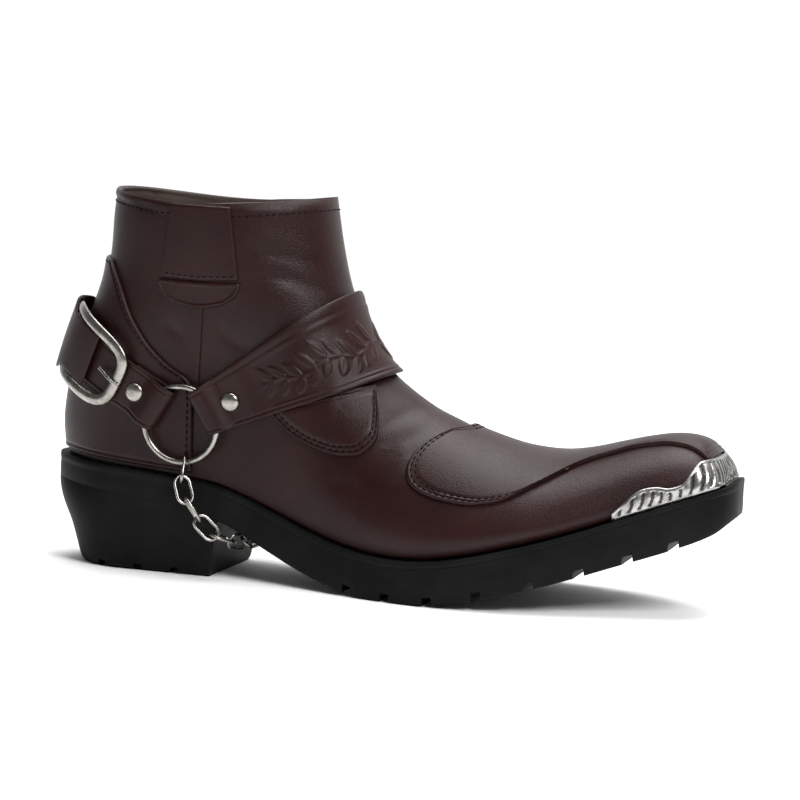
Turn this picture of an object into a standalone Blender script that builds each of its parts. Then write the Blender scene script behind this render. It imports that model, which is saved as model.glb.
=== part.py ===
"""Right biker ankle boot: leather upper on a lugged rubber sole with a stacked block heel,
a ring-and-strap harness, a buckle at the back, a chain under the arch, a side zip and a toe plate.

Metres, +Z up.  The toe points to +X, the wearer's outer side is -Y, the inner (zip) side +Y.
The origin is on the floor at the middle of the heel's tread.
The upper is a double-valued surface over its side view: every overlay, strap and fitting
is placed by on_upper(x, z, side), the same function that makes the upper itself.
"""

import math
from functools import partial

import bmesh
import bpy
from mathutils import Matrix, Vector

# Driving dimensions, in millimetres
MM = 0.001
WALL = 2.4              # upper: leather with its lining
GAP = 0.3               # clearance where pieces meet
SEAT = 0.7              # clearance over facets: overlays on the upper, the upper on the sole
OVERLAY = 1.1           # thickness of a sewn-on leather panel
STRAP = 1.2             # harness strap thickness
COLLAR_FRONT = 75.0     # x of the collar's front
TOE_X = 262.6           # x of the upper's toe at the sole
UPPER_INSET = 2.5       # ledge of the sole around the upper at its widest
RING_RADIUS = 17.4      # harness ring, to the middle of its wire
RING_WIRE = 1.4         # wire radius
LINK_WIRE = 0.75        # chain link wire radius
LINK_LONG = 6.4         # chain link half length, to the wire's middle
LINK_WIDE = 3.5         # chain link half width, to the wire's middle

OUTER, INNER = -1, 1    # the boot's two sides, as signs of y

# Sole stations along x: top of the sole, underside, and plan half-widths of each side
SOLE_ROWS = (
    # x,    top,  bottom, outer, inner
    (-54.2, 50.0, 39.5, 24.0, 24.0),
    (-25.0, 48.0, 37.0, 31.0, 31.0),
    (5.0, 46.2, 34.0, 35.0, 34.0),
    (32.0, 43.0, 28.5, 34.0, 31.0),
    (46.0, 38.6, 22.5, 34.0, 29.0),
    (62.0, 32.6, 14.6, 35.5, 28.0),
    (80.0, 26.0, 7.2, 39.5, 30.0),
    (98.0, 21.4, 2.4, 45.0, 35.0),
    (115.0, 19.2, 0.2, 49.5, 41.0),
    (132.0, 19.2, 0.0, 52.5, 46.0),
    (152.0, 22.0, 2.6, 53.0, 49.5),
    (176.0, 28.2, 8.6, 50.0, 50.0),
    (198.0, 35.0, 15.2, 44.0, 47.5),
    (220.0, 43.0, 22.8, 36.5, 42.5),
    (243.0, 51.6, 31.0, 29.5, 36.0),
    (261.0, 58.2, 39.0, 24.5, 31.0),
    (269.0, 61.0, 46.0, 22.5, 28.5),
)
SOLE = dict(zip(("x", "top", "bottom", "outer", "inner"), zip(*SOLE_ROWS)))
FLAT_SPOT = 0.35        # depth by which the forefoot's tread is cut flat
HEEL_END_ROUND = 34.0   # plan radius of the sole's back
TOE_END_ROUND = 15.0    # plan length over which the snip toe closes

# Ridge of the upper from the toe to the collar's front: its height over x
RIDGE = {
    "x": (75.0, 78.0, 82.3, 86.4, 91.6, 98.8, 107.0, 118.0, 128.0, 139.0, 149.0, 166.0, 178.0, 189.0, 201.0,
          214.0, 226.0, 238.0, 247.0, 252.6, 257.6, 260.8, 262.6),
    "z": (172.5, 156.5, 139.0, 128.0, 115.5, 104.4, 95.8, 87.6, 81.8, 77.0, 72.8, 68.0, 66.4, 66.4, 68.4,
          72.0, 75.2, 77.4, 77.2, 75.2, 70.6, 66.0, 60.2),
}
# Back of the upper: its x and the half-width, front and back radii of each level of the shaft
BACK = {
    "z":     (44.0,  56.0,  67.0,  84.0, 101.0, 118.0, 133.0, 147.0, 163.0, 176.0),
    "x":     (-49.6, -50.4, -51.2, -48.8, -43.8, -37.8, -33.0, -30.9, -30.0, -28.6),
    "width": (31.0,  32.5,  33.2,  33.6,  34.4,  36.2,  38.0,  39.6,  41.0,  41.8),
    "round": (33.0,  34.0,  35.0,  38.0,  42.0,  46.0,  49.0,  51.0,  52.0,  52.0),
}
# How the cross-section of the foot changes from the instep to the toe
SECTION = {
    "x":     (70.0, 110.0, 150.0, 190.0, 225.0, 262.6),
    "crown": (1.9,  1.75,  1.8,   2.1,   2.6,   3.4),
    "ridge": (0.0,  2.0,   3.0,   3.5,   4.0,   3.2),
}
TUCK_SHARE, TUCK_HEIGHT = 0.07, 0.24    # the upper draws in over the lowest quarter of its height
BLEND_LOW, BLEND_HIGH = 62.0, 122.0     # between these heights the foot turns into the shaft
ANKLE_X, BLEND_LEAN = 40.0, 0.6         # in front of the ankle the change comes higher up


def table(rows, column, at, key="x"):
    """Smooth value of a table's column at a place along its key column."""
    keys, values = rows[key], rows[column]
    last = len(keys) - 2
    i = max(0, min(last, sum(1 for k in keys[1:-1] if k <= at)))

    def slope(j):
        low, high = max(0, j - 1), min(last + 1, j + 1)
        return (values[high] - values[low]) / (keys[high] - keys[low])

    span = keys[i + 1] - keys[i]
    t = (at - keys[i]) / span
    if t < 0:
        return values[0] + slope(0) * (at - keys[0])
    if t > 1:
        return values[-1] + slope(last + 1) * (at - keys[-1])
    a, b, c = t * t * (3 - 2 * t), t * (1 - t) ** 2 * span, t * t * (t - 1) * span
    return values[i] * (1 - a) + values[i + 1] * a + slope(i) * b + slope(i + 1) * c


def shares(count, low=0.0, high=1.0):
    return [low + (high - low) * i / count for i in range(count + 1)]


def smoothstep(low, high, at):
    t = max(0.0, min(1.0, (at - low) / (high - low)))
    return t * t * (3 - 2 * t)


def close(depth, radius, power=2.0):
    """1 inside, falling to 0 at the edge as a round end does, over the last radius of depth."""
    left = max(0.0, 1 - max(0.0, depth) / radius)
    return max(0.0, 1 - left ** power) ** (1 / power)


def sole_top(x):
    return table(SOLE, "top", x)


def sole_bottom(x):
    """Underside of the sole; the forefoot stands flat on the floor."""
    return max(0.0, table(SOLE, "bottom", x) - FLAT_SPOT)


def plan_half(x, side, inset=0.0):
    """Plan half-width of the sole, or of an outline inside it, with its toe closed and its heel left open."""
    wide = table(SOLE, "outer" if side == OUTER else "inner", x) - inset
    return wide * close(SOLE["x"][-1] - inset - x, TOE_END_ROUND, 2.6)


def sole_half(x, side):
    """Plan half-width of the sole on one side."""
    return plan_half(x, side) * close(x - SOLE["x"][0], HEEL_END_ROUND, 2.1)


def ridge_z(x):
    """Height of the upper's ridge; behind the collar's front it goes on rising, out of reach."""
    if x < COLLAR_FRONT:
        return RIDGE["z"][0] + 6.0 * (COLLAR_FRONT - x)
    return table(RIDGE, "z", min(x, TOE_X))


def solve(function, low, high):
    """Where a function that is positive at low and negative at high crosses zero."""
    for _ in range(40):
        middle = (low + high) / 2
        low, high = (middle, high) if function(middle) > 0 else (low, middle)
    return (low + high) / 2


TOE_CREST = 240.0       # x of the toe's highest point


def front_x(z):
    """x of the ridge at a height: up the shaft and instep, or on the toe's front wall below it."""
    if z > ridge_z(190.0) + 14.0:
        return solve(lambda x: ridge_z(x) - z, COLLAR_FRONT - 20, 190.0)
    return solve(lambda x: ridge_z(x) - z, TOE_CREST, TOE_X)


def back_x(z):
    return table(BACK, "x", z, "z")


def half_width(x, z, side):
    """Half-width of the upper's outer face at a point of its side view, and how high that is there."""
    low, high = sole_top(x), ridge_z(x)
    t = max(0.0, min(1.0, (z - low) / max(high - low, 0.01)))
    tuck = 1 - TUCK_SHARE * max(0.0, 1 - t / TUCK_HEIGHT) ** 2
    foot = plan_half(x, side, UPPER_INSET) * tuck
    shaft_share = smoothstep(BLEND_LOW, BLEND_HIGH, z - BLEND_LEAN * max(0.0, x - ANKLE_X))
    wide = foot + (table(BACK, "width", z, "z") - foot) * shaft_share
    crown = max(0.0, 1 - t ** table(SECTION, "crown", x)) ** 0.5
    shaft_front = close(solve(lambda at: ridge_z(at) - z, COLLAR_FRONT - 20, 190.0) - x,
                        table(BACK, "round", z, "z")) if shaft_share > 0 else 1.0
    front = crown + (shaft_front - crown) * shaft_share
    back = close(x - back_x(z), table(BACK, "round", z, "z"), 2.1)
    return wide * front * back, t


def centre_y(x, t):
    """The ridge runs a little towards the inner side of the forefoot."""
    return table(SECTION, "ridge", max(x, 70.0)) * t * t if x > 70.0 else 0.0


def on_upper(x, z, side):
    half, t = half_width(x, z, side)
    return Vector((x, side * half + centre_y(x, t), z))


# Making objects
def clear_scene():
    for thing in list(bpy.data.objects):
        bpy.data.objects.remove(thing)


def collection(name, hidden=False):
    made = bpy.data.collections.new(name)
    bpy.context.scene.collection.children.link(made)
    made.hide_render = hidden
    return made


def material(name, colour, roughness, metallic=0.0):
    made = bpy.data.materials.new(name)
    made.use_nodes = True
    shader = made.node_tree.nodes["Principled BSDF"]
    shader.inputs["Base Color"].default_value = (*colour, 1.0)
    shader.inputs["Roughness"].default_value = roughness
    shader.inputs["Metallic"].default_value = metallic
    return made


def add(name, mesh, finish, home):
    made = bpy.data.objects.new(name, mesh)
    mesh.materials.append(finish)
    mesh.shade_smooth()
    home.objects.link(made)
    return made


def grid_mesh(name, rows, closed=False):
    """Quads through rows of points in millimetres; closed joins each row's last point to its first."""
    mesh = bpy.data.meshes.new(name)
    bm = bmesh.new()
    made = [[bm.verts.new(Vector(p) * MM) for p in row] for row in rows]
    columns = len(rows[0])
    for low, high in zip(made, made[1:]):
        for j in range(columns if closed else columns - 1):
            k = (j + 1) % columns
            bm.faces.new((low[j], low[k], high[k], high[j]))
    bmesh.ops.recalc_face_normals(bm, faces=bm.faces)
    bm.to_mesh(mesh)
    bm.free()
    return mesh


def loft_mesh(name, rings):
    """A closed solid through rings of equal length, with its first and last rings capped."""
    mesh = bpy.data.meshes.new(name)
    bm = bmesh.new()
    made = [[bm.verts.new(Vector(p) * MM) for p in ring] for ring in rings]
    count = len(rings[0])
    for low, high in zip(made, made[1:]):
        for j in range(count):
            k = (j + 1) % count
            bm.faces.new((low[j], low[k], high[k], high[j]))
    bm.faces.new(made[0][::-1])
    bm.faces.new(made[-1])
    bmesh.ops.recalc_face_normals(bm, faces=bm.faces)
    bm.to_mesh(mesh)
    bm.free()
    return mesh


def tube_mesh(name, rings):
    """A closed ring-shaped tube: rings of equal length, the last joined to the first."""
    mesh = bpy.data.meshes.new(name)
    bm = bmesh.new()
    made = [[bm.verts.new(Vector(p) * MM) for p in ring] for ring in rings]
    count = len(rings[0])
    for low, high in zip(made, made[1:] + made[:1]):
        for j in range(count):
            k = (j + 1) % count
            bm.faces.new((low[j], low[k], high[k], high[j]))
    bmesh.ops.recalc_face_normals(bm, faces=bm.faces)
    bm.to_mesh(mesh)
    bm.free()
    return mesh


def solidify(obj, thickness, offset):
    shell = obj.modifiers.new("thickness", "SOLIDIFY")
    shell.thickness = thickness * MM
    shell.offset = offset
    shell.use_even_offset = True
    return shell


# Upper
LEVELS = 19             # loops of the upper from the sole to the collar
HALF_LOOP = 24          # steps along each side of a loop
COLLAR_BACK, COLLAR_DIP = 175.5, 4.5
RIDGE_FALL = 1.2        # a loop keeps this steep a fall below the ridge on its way to it
# x at which the loops meet the ridge, from the toe at the sole to the collar's front
FRONT_PATH = (262.6, 262.0, 260.8, 258.8, 256.0, 252.2, 246.0, 236.0, 222.0, 206.0, 190.0,
              174.0, 159.0, 144.0, 131.0, 119.5, 109.0, 100.0, 92.6, 86.8, 81.0, 75.0)


def loop_line(level):
    """Ends of a loop in side view: where it meets the back and the ridge."""
    share = level / LEVELS
    place = share * (len(FRONT_PATH) - 1)
    i = min(int(place), len(FRONT_PATH) - 2)
    x = FRONT_PATH[i] + (FRONT_PATH[i + 1] - FRONT_PATH[i]) * (place - i)
    front_z = ridge_z(x) if level else sole_top(TOE_X) + SEAT
    low = sole_top(back_x(48.0)) + SEAT
    back_z = low + (COLLAR_BACK - low) * share ** 1.15
    return Vector((back_x(back_z), back_z)), Vector((x, front_z)), share


def loop_point(level, turn):
    """Side-view point of a loop: turn runs from 0 at the back to 1 at the ridge."""
    back, front, share = loop_line(level)
    s = (1 - math.cos(math.pi * turn)) / 2
    x, straight = back.x + (front.x - back.x) * s, back.y + (front.y - back.y) * s
    floor = sole_top(x) + SEAT
    base = sole_top(back.x) + SEAT + (sole_top(front.x) - sole_top(back.x)) * s
    z = straight + (floor - base) * (1 - share) ** 1.6
    z -= COLLAR_DIP * share ** 6 * math.sin(math.pi * s)
    if level:
        below_ridge = floor + (ridge_z(x) - floor) / (1 + RIDGE_FALL * (1 - s))
        z = max(floor + level * 0.4, min(z, below_ridge))
    else:
        z = floor
    return back_x(z) + (front.x - back_x(z)) * s, z


def upper_rows():
    rows = []
    for level in range(LEVELS + 1):
        row = []
        for step in range(2 * HALF_LOOP):
            turn = step / HALF_LOOP
            side = OUTER if turn <= 1 else INNER
            row.append(on_upper(*loop_point(level, min(turn, 2 - turn)), side))
        rows.append(row)
    return rows


def make_upper(finish, home):
    upper = add("upper", grid_mesh("upper", upper_rows(), closed=True), finish, home)
    solidify(upper, WALL, -1)
    return upper


# Sole, heel and insole
SOLE_STEPS, SOLE_FIRST = 34, 0.09       # sections of the sole, and the angle of the first and last
LIP, LIP_DEEP = 2.6, 1.0        # thin lip along the sole's top edge
TREAD_CHAMFER = 1.5


def sole_section(x):
    """Cross-section of the sole at x, from the outer lip round under the tread to the inner lip."""
    top, bottom = sole_top(x), sole_bottom(x)
    points = []
    for side in (OUTER, INNER):
        wide = sole_half(x, side)
        deep = min(LIP_DEEP, wide * 0.3)
        edge = [(wide, top), (wide, top - LIP), (wide - deep, top - LIP - 0.8),
                (wide - deep * 0.6, bottom + TREAD_CHAMFER), (wide - deep * 0.6 - TREAD_CHAMFER, bottom)]
        half = [Vector((x, side * max(y, 0.4), z)) for y, z in edge]
        points += half if side == OUTER else half[::-1]
    return points


def cutter_box(name, size, place, turn, home):
    """A box in millimetres, tilted about Y, that cuts a groove."""
    bpy.ops.mesh.primitive_cube_add(size=1)
    made = bpy.context.object
    made.name = name
    made.data.transform(Matrix.Diagonal((size[0] * MM, size[1] * MM, size[2] * MM, 1)))
    made.location = Vector(place) * MM
    made.rotation_euler = (0, turn, 0)
    made.display_type = "WIRE"
    made.hide_render = True
    for old in list(made.users_collection):
        old.objects.unlink(made)
    home.objects.link(made)
    return made


def cut(obj, cutter):
    modifier = obj.modifiers.new("cut_" + cutter.name, "BOOLEAN")
    modifier.operation = "DIFFERENCE"
    modifier.object = cutter


GROOVES = (102.0, 121.0, 141.0, 163.0, 185.0, 206.0, 226.0, 245.0)  # tread grooves across the forefoot
GROOVE_WIDE, GROOVE_DEEP = 4.2, 3.4


def make_sole(finish, home, cutters):
    back, toe = SOLE["x"][0], SOLE["x"][-1]
    turns = shares(SOLE_STEPS, SOLE_FIRST, math.pi - SOLE_FIRST)
    rings = [sole_section(back + (toe - back) * (1 - math.cos(a)) / 2) for a in turns]
    sole = add("outsole", loft_mesh("outsole", rings), finish, home)
    for i, x in enumerate(GROOVES):
        slope = (sole_bottom(x + 2) - sole_bottom(x - 2)) / 4
        place = (x, 0, sole_bottom(x))
        size = (GROOVE_WIDE, 140, 2 * GROOVE_DEEP)
        cut(sole, cutter_box(f"groove_{i}", size, place, -math.atan(slope), cutters))
    return sole


# Heel levels from the seat to the floor: back, breast, half-width
HEEL = {
    "share":  (0.0,   0.25,  0.55,  0.92,  1.0),
    "back":   (-53.0, -50.4, -46.0, -41.6, -40.4),
    "breast": (36.0,  34.6,  33.0,  31.2,  30.6),
    "half":   (33.0,  31.8,  30.4,  29.0,  28.0),
}
HEEL_GROOVES = (-22.0, -4.0, 14.0)
HEEL_STEPS, HEEL_SEAT = 18, 0.55         # steps of each half outline; clearance under the sole's facets


def heel_ring(share):
    """Outline of the heel at a share of its height: round behind, straight at the breast."""
    back, breast = table(HEEL, "back", share, "share"), table(HEEL, "breast", share, "share")
    half = table(HEEL, "half", share, "share")
    points = []
    for i in range(2 * HEEL_STEPS + 1):
        turn = abs(i / HEEL_STEPS - 1)
        side = OUTER if i <= HEEL_STEPS else INNER
        s = 1 - math.cos(math.pi / 2 * turn)
        x = back + (breast - back) * s
        wide = half * close(x - back, 31.0, 2.1)
        if i == HEEL_STEPS:
            wide = 0.0
        seat = sole_bottom(x) - HEEL_SEAT
        points.append(Vector((x, side * wide, seat * (1 - share))))
    return points


def make_heel(finish, home, cutters):
    heel = add("heel", loft_mesh("heel", [heel_ring(share) for share in HEEL["share"]]), finish, home)
    for i, x in enumerate(HEEL_GROOVES):
        cut(heel, cutter_box(f"heel_groove_{i}", (3.6, 140, 5.0), (x, 0, 0), 0.0, cutters))
    return heel


INSOLE_THICK, INSOLE_LIFT, INSOLE_CLEAR = 3.4, 0.7, 3.4
INSOLE_BACK_Z = 52.0                    # height at which the upper's back bounds the insole
INSOLE_BACK, INSOLE_TOE = 4.2, 5.5      # clearances at both ends
INSOLE_STEPS, INSOLE_FIRST = 22, 0.12


def make_insole(finish, home):
    rings = []
    back, toe = back_x(INSOLE_BACK_Z) + INSOLE_BACK, TOE_X - INSOLE_TOE
    for a in shares(INSOLE_STEPS, INSOLE_FIRST, math.pi - INSOLE_FIRST):
        x = back + (toe - back) * (1 - math.cos(a)) / 2
        ring = []
        for side, lift in ((OUTER, INSOLE_THICK), (OUTER, INSOLE_LIFT), (INNER, INSOLE_LIFT),
                           (INNER, INSOLE_THICK)):
            half = half_width(x, sole_top(x) + 0.5, side)[0] - INSOLE_CLEAR
            ends = close(x - back + 0.4, 26.0) * close(toe + 0.4 - x, 14.0, 2.6)
            ring.append(Vector((x, side * max(1.0, half * ends), sole_top(x) + lift)))
        rings.append(ring)
    return add("insole", loft_mesh("insole", rings), finish, home)


# Placing things on the upper
def along(points, share):
    """Point of a polyline in side view at a share of its length; beyond its ends it goes straight on."""
    spots = [Vector(p) for p in points]
    lengths = [(b - a).length for a, b in zip(spots, spots[1:])]
    left = share * sum(lengths)
    last = len(lengths) - 1
    for i, length in enumerate(lengths):
        if left <= length or i == last:
            return spots[i] + (spots[i + 1] - spots[i]) * (left / length)
        left -= length


def patch(side, low, high):
    """Surface of one side between two lines of its side view."""
    def base(a, b):
        x, z = along(low, a) * (1 - b) + along(high, a) * b
        return on_upper(x, z, side)
    return base


def fan(edge, ends):
    """Surface across the ridge or the back: from -1 on the outer side through 0 at the edge to 1 inside."""
    def base(c, w):
        side = OUTER if c < 0 else INNER
        start, end = edge(w), ends[side](w)
        turn = abs(c)
        v = 1 - math.cos(math.pi / 2 * turn) if turn < 1 else 1 + (turn - 1) * math.pi / 2
        x, z = start + (end - start) * v
        return on_upper(x, z, side)
    return base


def cover(v):
    """Turn of a fan that reaches a share of the way in side view."""
    return math.acos(1 - v) * 2 / math.pi if v < 1 else 1 + (v - 1) * 2 / math.pi


def outward(base, a, b, step=0.01):
    """Outward normal of a surface at one of its points."""
    here = base(a, b)
    normal = (base(a + step, b) - base(a - step, b)).cross(base(a, b + step) - base(a, b - step)).normalized()
    inside = Vector((22, 0, here.z)) if here.x < 40 else Vector((here.x - 25, 0, here.z - 25))
    return normal if normal.dot(here - inside) > 0 else -normal


def above(base, a, b, lift):
    return base(a, b) + outward(base, a, b) * lift


def slab_mesh(name, inner, outer):
    """A closed sheet between two grids of points of the same shape."""
    mesh = bpy.data.meshes.new(name)
    bm = bmesh.new()
    low = [[bm.verts.new(p * MM) for p in row] for row in inner]
    high = [[bm.verts.new(p * MM) for p in row] for row in outer]
    rows, columns = len(inner) - 1, len(inner[0]) - 1
    for i in range(rows):
        for j in range(columns):
            bm.faces.new((low[i][j], low[i + 1][j], low[i + 1][j + 1], low[i][j + 1]))
            bm.faces.new((high[i][j], high[i][j + 1], high[i + 1][j + 1], high[i + 1][j]))
    rim = [(i, 0) for i in range(rows)] + [(rows, j) for j in range(columns)]
    rim += [(i, columns) for i in range(rows, 0, -1)] + [(0, j) for j in range(columns, 0, -1)]
    for (i, j), (k, m) in zip(rim, rim[1:] + rim[:1]):
        bm.faces.new((low[i][j], low[k][m], high[k][m], high[i][j]))
    bmesh.ops.recalc_face_normals(bm, faces=bm.faces)
    bm.to_mesh(mesh)
    bm.free()
    return mesh


def panel(name, base, a_values, b_values, finish, home, lift=SEAT, thick=OVERLAY):
    """A sheet of even thickness that lies on the upper."""
    grids = [[[above(base, a, b, h) for b in b_values] for a in a_values] for h in (lift, lift + thick)]
    return add(name, slab_mesh(name, *grids), finish, home)


def turned(name, centre, normal, profile, sides, finish, home):
    """A round piece from rings of (radius, height) along a normal."""
    first = normal.orthogonal().normalized()
    second = normal.cross(first)
    rings = []
    for radius, height in profile:
        rings.append([centre + normal * height + radius * (first * math.cos(a) + second * math.sin(a))
                      for a in (2 * math.pi * i / sides for i in range(sides))])
    return add(name, loft_mesh(name, rings), finish, home)


def wire_rings(path, radius, sides, ups):
    """Rings of a round wire along a closed path; ups, one a point, keep the rings from twisting."""
    rings = []
    for i, (here, up) in enumerate(zip(path, ups)):
        run = (path[(i + 1) % len(path)] - path[i - 1]).normalized()
        out = run.cross(up).normalized()
        lift = out.cross(run)
        rings.append([here + radius * (out * math.cos(a) + lift * math.sin(a))
                      for a in (2 * math.pi * (k + 0.5) / sides for k in range(sides))])
    return rings


# Panels sewn onto the upper, as lines of its side view
VAMP_SEAT, VAMP_THICK = 1.4, 0.9
TOE_REAR, TOE_FRONT = 143.0, 251.5      # x of the vamp panel's ends on the ridge
VAMP_OUTER = ((125, 63), (127.5, 53), (141.5, 46.6), (156.5, 45), (170, 47.5), (183.5, 55.2), (195.5, 62.5),
              (206, 67.0), (222, 72.6), (238, 75.6), (246, 75.2), (250.5, 74.0))
VAMP_INNER_REAR, VAMP_INNER_TOE = 112.5, 206.0
VAMP_INNER_FRONT = ((214, 46), (219, 55), (228, 61.5), (237, 65), (244, 70), (249, 74))
COUNTER_TOP, COUNTER_LOW = 143.5, 52.4
COUNTER_SEAT, COUNTER_THICK = 1.1, 0.8
COUNTER_OUTER = ((-24, 142.0), (-17.5, 133.7), (-8.5, 116.9), (0.5, 104.5), (9.5, 96.3), (20, 91.0),
                 (21.5, 87), (21.5, 47.6))
COUNTER_INNER = ((1.5, 141.5), (3.0, 49.4))
PAD_SEAT, PAD_THICK = 1.2, 0.7
PADS = {
    OUTER: (((64, 76.5), (77, 67.6), (90, 64.5), (101, 64.8), (106.5, 71), (105, 80), (101, 89.5)),
            ((66, 82), (100, 92.4))),
    INNER: (((47, 74), (66, 68), (84, 64), (94, 66.5), (96.5, 72), (94, 81), (90, 86.5)),
            ((50, 80.5), (88, 90))),
}
PULL_TAB = (((11, 137.4), (24.5, 136.6), (38, 137.4)), ((11, 169.4), (38, 168.8)))
TAB_BASE = (((4.5, 135), (6, 129.5), (13, 125), (24.5, 123.5), (36, 125.5), (42.5, 130), (44, 135.5)),
            ((5.5, 136.2), (24.5, 135.8), (43, 136.2)))
ZIP_TAB = (((14, 127), (15.5, 123.4), (20.5, 122), (25.5, 123.6), (27, 127)), ((14, 168), (27, 168.3)))
SNAP_FLAP = (((-23, 146.5), (-19, 144.3), (8, 144.3), (11.5, 147)), ((-23, 171.3), (11.5, 168.6)))
ZIP_LINE = ((8, 49.5), (9.8, 72), (10, 97), (8.6, 118), (7, 134), (5, 142.5))
ZIP_HALF = 3.2


def feather(low, high, count):
    """Side-view points just above the sole."""
    return [(x, sole_top(x) + 2 * SEAT + 0.4) for x in shares(count, low, high)]


def ridge_point(x):
    return Vector((x, ridge_z(x)))


def heel_point(z):
    return Vector((back_x(z), z))


def make_panels(finish, home):
    inner = feather(VAMP_INNER_REAR, VAMP_INNER_TOE, 12) + list(VAMP_INNER_FRONT)
    vamp = fan(lambda w: ridge_point(TOE_REAR + (TOE_FRONT - TOE_REAR) * w),
               {OUTER: lambda w: along(VAMP_OUTER, w), INNER: lambda w: along(inner, w)})
    panel("vamp_panel", vamp, shares(16, -1, 1), shares(13), finish, home, VAMP_SEAT, VAMP_THICK)
    counter = fan(lambda w: heel_point(COUNTER_TOP + (COUNTER_LOW - COUNTER_TOP) * w),
                  {OUTER: lambda w: along(COUNTER_OUTER, w), INNER: lambda w: along(COUNTER_INNER, w)})
    panel("counter", counter, shares(18, -1, 1), shares(9), finish, home, COUNTER_SEAT, COUNTER_THICK)
    for side, name in ((OUTER, "pad_outer"), (INNER, "pad_inner")):
        panel(name, patch(side, *PADS[side]), shares(8), shares(4), finish, home, PAD_SEAT, PAD_THICK)
    panel("pull_tab", patch(OUTER, *PULL_TAB), shares(6), shares(3), finish, home)
    panel("tab_base", patch(OUTER, *TAB_BASE), shares(8), shares(2), finish, home)
    panel("zip_tab", patch(INNER, *ZIP_TAB), shares(5), shares(3), finish, home)
    panel("snap_flap", patch(INNER, *SNAP_FLAP), shares(6), shares(3), finish, home)


# Harness: two rings, a strap over the instep and one round the back
RINGS = {OUTER: (17.5, 70.5), INNER: (24.6, 78.5)}      # ring centres in side view
# Angles round each ring, in degrees, between which a strap wraps it: its top edge, its lower edge
FRONT_CHORD = {OUTER: (70, -9), INNER: (68, -8)}
REAR_CHORD = {OUTER: (110, 187), INNER: (125, 206)}
STRAP_RIDGE = (86.4, 107.5)             # x of the instep strap's edges on the ridge
STRAP_BACK = (115.5, 93.5)              # heights of the rear strap's edges at the back
UNDER_LIFT = 2.1                        # the folded end, next to the upper
MAIN_LIFT = 3.6                         # the strap above its folded end
REST_LIFT = 2.5                         # the strap beyond it, where it lies on the panels
RING_CLEAR = 0.5                        # from the ring's wire to the leather round it
RING_STEPS = 20
# Strap lengths from the ring's chord: its fold, the end of the pocket, of the ramp and of the turned-in end
FOLD, POCKET, RAMP, TURNED_IN = -0.6, 4.5, 8.5, 18.5
SETTLED = 28.0                          # where the strap has come down from its folded end
INNER_FLAT = 9.0                        # a point of the turned-in end before its fold
RIVET_AT = 12.6
STRAP_STEPS = 16                        # steps of a strap between its ramps
SPREAD = 5                              # points across a strap


def ring_spot(side, degrees):
    """Side-view point of a ring's wire."""
    x, z = RINGS[side]
    a = math.radians(degrees)
    return Vector((x + RING_RADIUS * math.cos(a), z + RING_RADIUS * math.sin(a)))


def chord(side, angles):
    top, low = ring_spot(side, angles[0]), ring_spot(side, angles[1])
    return lambda w: top + (low - top) * w


def ring_frame(side):
    """Middle of a flat ring that clears the upper, and its two directions in its plane and its normal."""
    spots = [ring_spot(side, 15 * k) for k in range(24)]
    feet = [on_upper(p.x, p.y, side) for p in spots]
    up, fore = (feet[6] - feet[18]).normalized(), (feet[0] - feet[12]).normalized()
    normal = fore.cross(up).normalized() * -side
    up = (up - normal * up.dot(normal)).normalized()
    fore = normal.cross(up) * side
    middle = on_upper(*RINGS[side], side)
    reach = max((foot - middle).dot(normal) for foot in feet + [middle])
    centre = middle + normal * (reach + UNDER_LIFT + STRAP + RING_CLEAR + RING_WIRE)
    return centre, fore, up, normal


def ring_point(side, degrees):
    centre, fore, up, _ = ring_frame(side)
    a = math.radians(degrees)
    return centre + RING_RADIUS * (fore * math.cos(a) + up * math.sin(a))


def ring_height(side, angles):
    """Greatest height of the ring's wire above the upper between two angles."""
    normal = ring_frame(side)[3]
    heights = []
    for k in shares(6, *angles):
        spot = ring_point(side, k)
        heights.append((spot - on_upper(spot.x, spot.z, side)).dot(normal))
    return max(heights)


def strap_side(side, angles):
    """Middle line of a strap's end from its turned-in tip: (length from the ring's chord, lift)."""
    low = UNDER_LIFT + STRAP / 2
    high = ring_height(side, angles) + RING_WIRE + RING_CLEAR + STRAP / 2
    turn, middle = (high - low) / 2, (high + low) / 2
    fold = [(FOLD - turn * math.sin(a), middle - turn * math.cos(a)) for a in shares(4, 0, math.pi)]
    return [(TURNED_IN, low), (INNER_FLAT, low)] + fold + [(POCKET, high), (RAMP, MAIN_LIFT + STRAP / 2)]


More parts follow.
